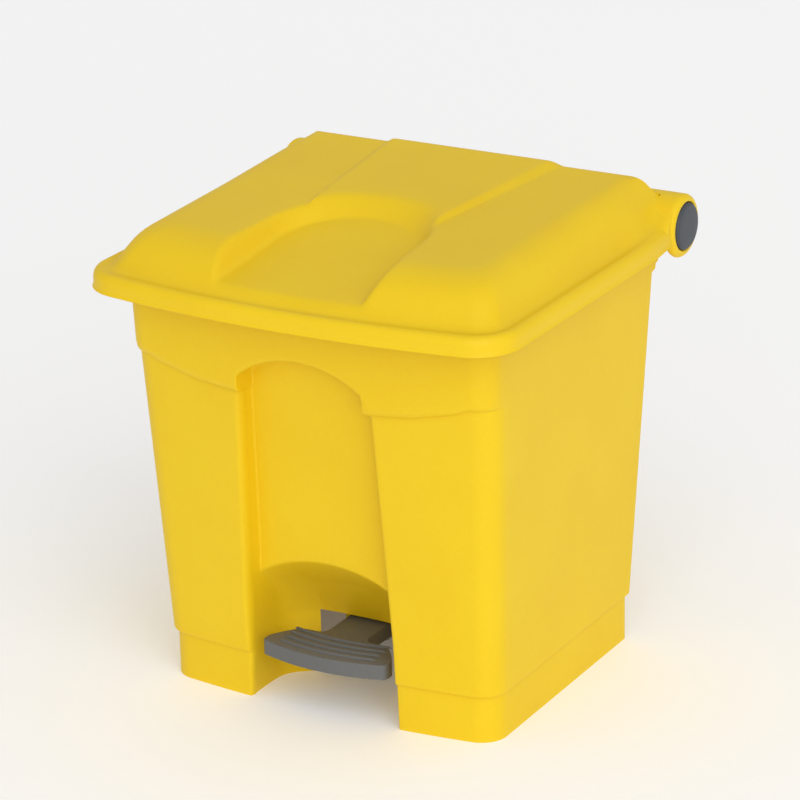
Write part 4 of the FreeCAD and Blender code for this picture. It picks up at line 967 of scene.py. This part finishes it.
def build_treadle(s):
    half, front, top, foot = (s.half_width / MM, s.front / MM, s.top / MM, s.foot / MM)
    bm = bmesh.new()
    bow = 11.0
    radius = (half * half + bow * bow) / (2 * bow)

    def front_y(x, back=0.0):
        return -front + back + radius - math.sqrt(radius * radius - x * x)

    right = [half * math.sin(k / 10 * math.pi / 2) * 0.965 for k in range(11)]
    right = [(x, front_y(x)) for x in right]
    right += [(half - 0.7, front_y(half) + 1.2), (half, front_y(half) + 3.2), (half, -122),
              (half - 1.2, -118.5), (half - 7, -109), (half - 14.2, -99.8), (half - 17.5, -96.6),
              (half - 21.5, -95.0), (26.5, -94.2), (23.4, -92.8), (21.2, -90), (20.2, -86), (20.0, -70),
              (20.0, -40.5)]
    outline = right + [(-x, y) for x, y in reversed(right[1:])]
    verts = [bm.verts.new((x, y, top)) for x, y in outline]
    tread = bm.faces.new(verts)
    tread.normal_update()
    if tread.normal.z < 0:
        tread.normal_flip()
    rim_edges = list(tread.edges)
    # raised lip: the tread is let in between the rim and a soft inner flank
    bmesh.ops.inset_region(bm, faces=[tread], thickness=s.lip / MM, depth=0.0, use_even_offset=True)
    bmesh.ops.inset_region(bm, faces=[tread], thickness=0.8, depth=-TREAD_DEPTH, use_even_offset=True)
    made = bmesh.ops.extrude_edge_only(bm, edges=rim_edges)
    lower = [g for g in made["geom"] if isinstance(g, bmesh.types.BMVert)]
    bmesh.ops.translate(bm, vec=(0, 0, foot - top), verts=lower)
    bmesh.ops.bevel(bm, geom=rim_edges, offset=0.9, offset_type="OFFSET", segments=3, profile=0.5,
                    affect="EDGES", material=-1)
    faces = sorted(bm.faces, key=lambda f: -f.calc_area())
    facing(bm, faces, Vector((0, 0, 1)))
    give_wall(bm, bm.faces[:], 2.5)
    # grip ridges follow the bowed front edge
    floor = top - TREAD_DEPTH
    for n in range(s.ridges):

        def place(i, j, back=FIRST_RIDGE + RIDGE_PITCH * n):
            x = mix(-RIDGE_REACH, RIDGE_REACH, i / 40)
            swell = math.sqrt(clamp((RIDGE_REACH - abs(x)) / 3.0))
            a = math.pi * j / 6
            return Vector((x, front_y(x * 0.98, back) - RIDGE_WIDTH / 2 * math.cos(a) * max(swell, 0.05),
                           floor - 0.2 + (0.2 + s.ridge / MM) * math.sin(a) * swell))

        part = bmesh.new()
        fitted_sheet(part, 40, 6, place)
        faces = sorted(part.faces, key=lambda f: -f.calc_center_median().z)
        facing(part, faces, Vector((0, 0, 1)))
        take(bm, part)
    return bm


# ---------------------------------------------------------------- materials

def add(tree, kind, values=None, links=None, into=None, **settings):
    """Add a node, set its properties and inputs, link outputs into it, and link it on into a socket."""
    node = tree.nodes.new(kind)
    for name, value in settings.items():
        setattr(node, name, value)
    for name, value in (values or {}).items():
        node.inputs[name].default_value = value
    for name, source in (links or {}).items():
        tree.links.new(source, node.inputs[name])
    if into:
        tree.links.new(next(socket for socket in node.outputs if socket.enabled), into)
    return node


def new_material(name, **constants):
    """Empty material with a shader whose even values are set on its own sockets."""
    material = bpy.data.materials.new(name)
    material.use_nodes = True
    tree = material.node_tree
    tree.nodes.clear()
    shader = add(tree, "ShaderNodeBsdfPrincipled", {k.replace("_", " "): v for k, v in constants.items()})
    add(tree, "ShaderNodeOutputMaterial", links={"Surface": shader.outputs[0]})
    place = add(tree, "ShaderNodeTexCoord").outputs["Object"]
    return material, tree, shader, place


def grain_scale(size_mm):
    """Noise scale, per metre, for features of a size in millimetres."""
    return 1000.0 / size_mm


def moulded_plastic(name, colour, deep, grain_mm, grain_depth, rough, streaks=False):
    """Injection-moulded polypropylene: self-coloured, with a spark-eroded satin skin.
    The grain breaks the highlights up a little, and the tone drifts slowly where the melt flowed."""
    material, tree, shader, place = new_material(name, IOR=1.49, Specular_IOR_Level=0.27)
    drift = add(tree, "ShaderNodeTexNoise", {"Scale": grain_scale(90), "Detail": 2.0, "Roughness": 0.5},
                {"Vector": place})
    mottle = add(tree, "ShaderNodeTexNoise", {"Scale": grain_scale(4.5), "Detail": 3.0, "Roughness": 0.6},
                 {"Vector": place})
    both = add(tree, "ShaderNodeMath", {1: 0.35}, {0: mottle.outputs["Fac"]}, operation="MULTIPLY")
    tone = add(tree, "ShaderNodeMath", {1: 0.65},
               {0: drift.outputs["Fac"], 2: both.outputs[0]}, operation="MULTIPLY_ADD")
    ramp = add(tree, "ShaderNodeMapRange", {"From Min": 0.3, "From Max": 0.7}, {"Value": tone.outputs[0]})
    add(tree, "ShaderNodeMix", {"A": (*deep, 1.0), "B": (*colour, 1.0)}, {"Factor": ramp.outputs[0]},
        shader.inputs["Base Color"], data_type="RGBA")
    # the real grain is near 0.2 mm and too fine to show, so it is drawn as coarse as it needs to be
    fine = add(tree, "ShaderNodeTexNoise", {"Scale": grain_scale(grain_mm), "Detail": 4.0,
                                            "Roughness": 0.65}, {"Vector": place})
    add(tree, "ShaderNodeMapRange", {"From Min": 0.3, "From Max": 0.7, "To Min": rough - 0.05,
                                     "To Max": rough + 0.06}, {"Value": fine.outputs["Fac"]},
        shader.inputs["Roughness"])
    height = fine.outputs["Fac"]
    if streaks:
        # flow lines that run along the length of the moulding
        stretch = add(tree, "ShaderNodeMapping", {"Scale": (0.04, 0.3, 1.0)}, {"Vector": place})
        lines = add(tree, "ShaderNodeTexNoise", {"Scale": grain_scale(1.0), "Detail": 3.0},
                    {"Vector": stretch.outputs[0]})
        height = add(tree, "ShaderNodeMath", {1: 1.6}, {0: lines.outputs["Fac"], 2: height},
                     operation="MULTIPLY_ADD").outputs[0]
    add(tree, "ShaderNodeBump", {"Strength": 0.5, "Distance": grain_depth * MM}, {"Height": height},
        shader.inputs["Normal"])
    return material


def zinc_plate(name, colour):
    """Bright zinc plate on drawn steel: a cool soft metal sheen with fine spangle and drawing lines."""
    material, tree, shader, place = new_material(name, Metallic=1.0)
    spangle = add(tree, "ShaderNodeTexVoronoi", {"Scale": grain_scale(2.5)}, {"Vector": place})
    drawn = add(tree, "ShaderNodeMapping", {"Scale": (1.0, 1.0, 0.06)}, {"Vector": place})
    lines = add(tree, "ShaderNodeTexNoise", {"Scale": grain_scale(0.8), "Detail": 3.0},
                {"Vector": drawn.outputs[0]})
    part = add(tree, "ShaderNodeMapRange", {"To Min": 0.0, "To Max": 0.5},
               {"Value": spangle.outputs["Distance"]})
    add(tree, "ShaderNodeMix", {"A": (*colour, 1.0), "B": (*(c * 0.72 for c in colour), 1.0)},
        {"Factor": part.outputs[0]}, shader.inputs["Base Color"], data_type="RGBA")
    add(tree, "ShaderNodeMapRange", {"To Min": 0.26, "To Max": 0.44}, {"Value": lines.outputs["Fac"]},
        shader.inputs["Roughness"])
    add(tree, "ShaderNodeBump", {"Strength": 0.3, "Distance": 0.05 * MM}, {"Height": lines.outputs["Fac"]},
        shader.inputs["Normal"])
    return material


def moulded_nylon(name, colour):
    """Natural nylon, moulded: milky and a little translucent, with a faint waxy mottle."""
    material, tree, shader, place = new_material(name, IOR=1.53, Roughness=0.38, Subsurface_Weight=0.15,
                                                 Subsurface_Scale=0.002)
    cloud = add(tree, "ShaderNodeTexNoise", {"Scale": grain_scale(3.0), "Detail": 2.0}, {"Vector": place})
    add(tree, "ShaderNodeMix", {"A": (*(c * 0.86 for c in colour), 1.0), "B": (*colour, 1.0)},
        {"Factor": cloud.outputs["Fac"]}, shader.inputs["Base Color"], data_type="RGBA")
    add(tree, "ShaderNodeBump", {"Strength": 0.2, "Distance": 0.05 * MM}, {"Height": cloud.outputs["Fac"]},
        shader.inputs["Normal"])
    return material


def moulded_rubber(name, colour):
    """Compression-moulded rubber: dull, dark, with a dusty bloom in its fine pits."""
    material, tree, shader, place = new_material(name, IOR=1.52)
    pits = add(tree, "ShaderNodeTexNoise", {"Scale": grain_scale(0.9), "Detail": 4.0}, {"Vector": place})
    bloom = add(tree, "ShaderNodeMapRange", {"From Min": 0.45, "From Max": 0.8},
                {"Value": pits.outputs["Fac"]})
    add(tree, "ShaderNodeMix", {"A": (*colour, 1.0), "B": (*(min(1.0, c * 2.2) for c in colour), 1.0)},
        {"Factor": bloom.outputs[0]}, shader.inputs["Base Color"], data_type="RGBA")
    add(tree, "ShaderNodeMapRange", {"To Min": 0.7, "To Max": 0.9}, {"Value": pits.outputs["Fac"]},
        shader.inputs["Roughness"])
    add(tree, "ShaderNodeBump", {"Strength": 0.4, "Distance": 0.1 * MM}, {"Height": pits.outputs["Fac"]},
        shader.inputs["Normal"])
    return material


YELLOW, GREY = "moulded_yellow_polypropylene", "moulded_grey_polypropylene"
CAP_GREY = "dark_grey_polypropylene"
ZINC, NYLON, RUBBER = "zinc_plated_steel", "natural_nylon", "moulded_rubber"


def finish_of(name):
    """The named material, made the first time it is asked for."""
    if name in bpy.data.materials:
        return bpy.data.materials[name]
    colours = bpy.context.scene.bin_colours
    if name == YELLOW:
        shade = tuple(colours.yellow)
        deep = (shade[0] * 0.965, shade[1] * 0.93, shade[2] * 0.9)
        return moulded_plastic(name, shade, deep, grain_mm=0.9, grain_depth=0.035, rough=0.5)
    if name == CAP_GREY:
        shade = tuple(colours.cap)
        deep = tuple(c * 0.92 for c in shade)
        return moulded_plastic(name, shade, deep, grain_mm=0.7, grain_depth=0.05, rough=0.45)
    if name == GREY:
        shade = tuple(colours.grey)
        deep = tuple(c * 0.88 for c in shade)
        return moulded_plastic(name, shade, deep, grain_mm=0.7, grain_depth=0.05, rough=0.45, streaks=True)
    if name == ZINC:
        return zinc_plate(name, tuple(colours.zinc))
    if name == NYLON:
        return moulded_nylon(name, tuple(colours.nylon))
    return moulded_rubber(name, tuple(colours.rubber))


FITTINGS = {
    "rear_cover": YELLOW,
    "pedal_axle": ZINC, "axle_bush_right": NYLON, "axle_bush_left": NYLON, "axle_clips": ZINC,
    "hinge_rod": ZINC, "hinge_rod_clips": ZINC, "hinge_bush_right": NYLON, "hinge_bush_left": NYLON,
    "lift_crank": ZINC, "crank_screws": ZINC, "upper_pin": ZINC, "upper_pin_clip": ZINC,
    "lid_buffers": RUBBER, "pedal_lever": ZINC, "lever_screws": ZINC, "lower_pin": ZINC,
    "lower_pin_clip": ZINC, "lift_rod": ZINC,
}


# ---------------------------------------------------------------- operators

class MakeBody(bpy.types.Operator):
    """Body moulding: drafted walls, stepped skirt, apron, arched recess and pedal niche"""
    bl_idname = "pedal_bin.body"
    bl_label = "Body moulding"

    def execute(self, context):
        scene = context.scene
        bm, shape = build_body(scene.bin_body)
        add_floor(bm, shape)
        add_channel(bm, shape)
        add_ears(bm, shape, scene.bin_hinge)
        add_lugs(bm)
        piece(bm, "bin_body", "bin", finish_of(YELLOW), ("body_shell",))
        return {"FINISHED"}


class MakeLid(bpy.types.Operator):
    """Lid moulding: beaded skirt, dome with its sunk panel and strip, and the hinge barrel"""
    bl_idname = "pedal_bin.lid"
    bl_label = "Lid moulding"

    def execute(self, context):
        scene = context.scene
        bm, shape = build_lid(scene.bin_lid, scene.bin_hinge)
        add_barrel(bm, shape, scene.bin_hinge)
        piece(bm, "bin_lid", "lid", finish_of(YELLOW), ("lid_shell",))
        return {"FINISHED"}


class MakeCaps(bpy.types.Operator):
    """Grey end caps of the hinge barrel"""
    bl_idname = "pedal_bin.caps"
    bl_label = "Hinge caps"

    def execute(self, context):
        hinge = context.scene.bin_hinge
        face, radius = hinge.cap_face / MM, hinge.cap / MM
        profile = [(face, 0.0), (face, 9.0), (face, radius - 2.6), (face - 0.15, radius - 1.9),
                   (face - 0.7, radius - 1.1), (face - 1.5, radius - 0.4), (face - 2.4, radius),
                   (face - 9.0, radius), (face - 9.0, radius - 2.5), (face - 3.4, radius - 2.5),
                   (face - 3.4, 0.0)]
        for side, name in ((1, "right"), (-1, "left")):
            bm = bmesh.new()
            turned(bm, profile, hinge.axis_y / MM, hinge.axis_z / MM, sign=side)
            bmesh.ops.remove_doubles(bm, verts=bm.verts, dist=0.005)
            bmesh.ops.recalc_face_normals(bm, faces=bm.faces[:])
            piece(bm, "end_cap_" + name, "lid", finish_of(CAP_GREY), ("hinge_cap_" + name,), sharp=30)
        return {"FINISHED"}


class MakeTreadle(bpy.types.Operator):
    """Treadle: bowed grey tread with a raised lip and grip ridges, and its neck"""
    bl_idname = "pedal_bin.treadle"
    bl_label = "Treadle"

    def execute(self, context):
        bm = build_treadle(context.scene.bin_treadle)
        piece(bm, "treadle", "pedal", finish_of(GREY), ("pedal_treadle",), sharp=35)
        return {"FINISHED"}


class FinishFittings(bpy.types.Operator):
    """Give the axle, rods, pins, bushes, buffers and rear cover their finishes"""
    bl_idname = "pedal_bin.fittings"
    bl_label = "Fittings' finishes"

    def execute(self, context):
        for name, finish in FITTINGS.items():
            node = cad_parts[name]
            node.data.materials.clear()
            node.data.materials.append(finish_of(finish))
        return {"FINISHED"}


# places and directions on the stage, in metres
KEY_PLACE, KEY_AIM, KEY_SIZE = (1.5, -1.6, 0.95), (0.1, 0, 0.25), 1.0
BROAD_DIRECTION, BROAD_ANGLE = (-0.62, 0.7, -0.62), math.radians(70)
CAMERA_PLACE, CAMERA_AIM = (1.52219, -2.63431, 1.39382), (-0.02535, 0.05456, 0.22339)
CAMERA_ROLL = math.radians(-1.187)      # the camera is tipped slightly about its own line of sight


class MakeStage(bpy.types.Operator):
    """Pale floor, soft studio light and the camera"""
    bl_idname = "pedal_bin.stage"
    bl_label = "Stage"

    def execute(self, context):
        scene, stage = context.scene, context.scene.bin_stage
        bm = bmesh.new()
        bmesh.ops.create_grid(bm, x_segments=1, y_segments=1, size=12.0)
        mesh = bpy.data.meshes.new("studio_floor")
        bm.to_mesh(mesh)
        bm.free()
        floor = bpy.data.objects.new("studio_floor", mesh)
        scene.collection.objects.link(floor)
        material, _, shader, _ = new_material("painted_floor", Roughness=0.9, Specular_IOR_Level=0.1)
        shader.inputs["Base Color"].default_value = (*stage.floor, 1.0)
        shader.inputs["Emission Color"].default_value = (1.0, 1.0, 1.0, 1.0)
        shader.inputs["Emission Strength"].default_value = stage.floor_glow
        mesh.materials.append(material)

        world = bpy.data.worlds.new("studio")
        scene.world = world
        world.use_nodes = True
        back = world.node_tree.nodes["Background"]
        back.inputs["Color"].default_value = (1.0, 1.0, 1.0, 1.0)
        back.inputs["Strength"].default_value = stage.sky

        def area(name, at, to, size, power):
            lamp = bpy.data.lights.new(name, "AREA")
            lamp.shape, lamp.size, lamp.energy = "DISK", size, power
            obj = bpy.data.objects.new(name, lamp)
            obj.location = at
            obj.rotation_mode = "QUATERNION"
            obj.rotation_quaternion = (Vector(to) - Vector(at)).to_track_quat("-Z", "Y")
            scene.collection.objects.link(obj)

        area("key_light", KEY_PLACE, KEY_AIM, KEY_SIZE, stage.key)
        # the broad light is a soft sun, so the floor stays evenly pale to its far edge
        lamp = bpy.data.lights.new("broad_light", "SUN")
        lamp.energy, lamp.angle = stage.sun, BROAD_ANGLE
        sun = bpy.data.objects.new("broad_light", lamp)
        sun.rotation_mode = "QUATERNION"
        sun.rotation_quaternion = Vector(BROAD_DIRECTION).to_track_quat("-Z", "Y")
        scene.collection.objects.link(sun)

        lens = bpy.data.cameras.new("camera")
        lens.lens = stage.lens
        lens.sensor_width = 36.0
        lens.clip_end = 100.0
        camera = bpy.data.objects.new("camera", lens)
        camera.location = CAMERA_PLACE
        aim = Vector(CAMERA_AIM) - camera.location
        camera.rotation_mode = "QUATERNION"
        camera.rotation_quaternion = (aim.to_track_quat("-Z", "Y")
                                      @ Quaternion((0, 0, 1), CAMERA_ROLL))
        scene.collection.objects.link(camera)
        scene.camera = camera
        scene.view_settings.view_transform = "Standard"
        return {"FINISHED"}


OPERATORS = (MakeBody, MakeLid, MakeCaps, MakeTreadle, FinishFittings, MakeStage)
GROUPS = {"bin_body": BodySizes, "bin_lid": LidSizes, "bin_hinge": HingeSizes,
          "bin_treadle": TreadleSizes, "bin_colours": FinishColours, "bin_stage": StageSettings}


class BinPanel(bpy.types.Panel):
    """Lists the pieces of the pedal bin"""
    bl_idname = "VIEW3D_PT_pedal_bin"
    bl_label = "Pedal bin"
    bl_space_type = "VIEW_3D"
    bl_region_type = "UI"
    bl_category = "Pedal bin"

    def draw(self, context):
        for operator in OPERATORS:
            self.layout.operator(operator.bl_idname)


def register():
    for group in GROUPS.values():
        bpy.utils.register_class(group)
    for operator in OPERATORS:
        bpy.utils.register_class(operator)
    bpy.utils.register_class(BinPanel)
    for name, group in GROUPS.items():
        setattr(bpy.types.Scene, name, PointerProperty(type=group))


def unregister():
    for name in GROUPS:
        delattr(bpy.types.Scene, name)
    bpy.utils.unregister_class(BinPanel)
    for operator in reversed(OPERATORS):
        bpy.utils.unregister_class(operator)
    for group in reversed(list(GROUPS.values())):
        bpy.utils.unregister_class(group)


def main():
    register()
    for step in ("body", "lid", "caps", "treadle", "fittings", "stage"):
        getattr(bpy.ops.pedal_bin, step)()


if __name__ == "__main__":
    main()
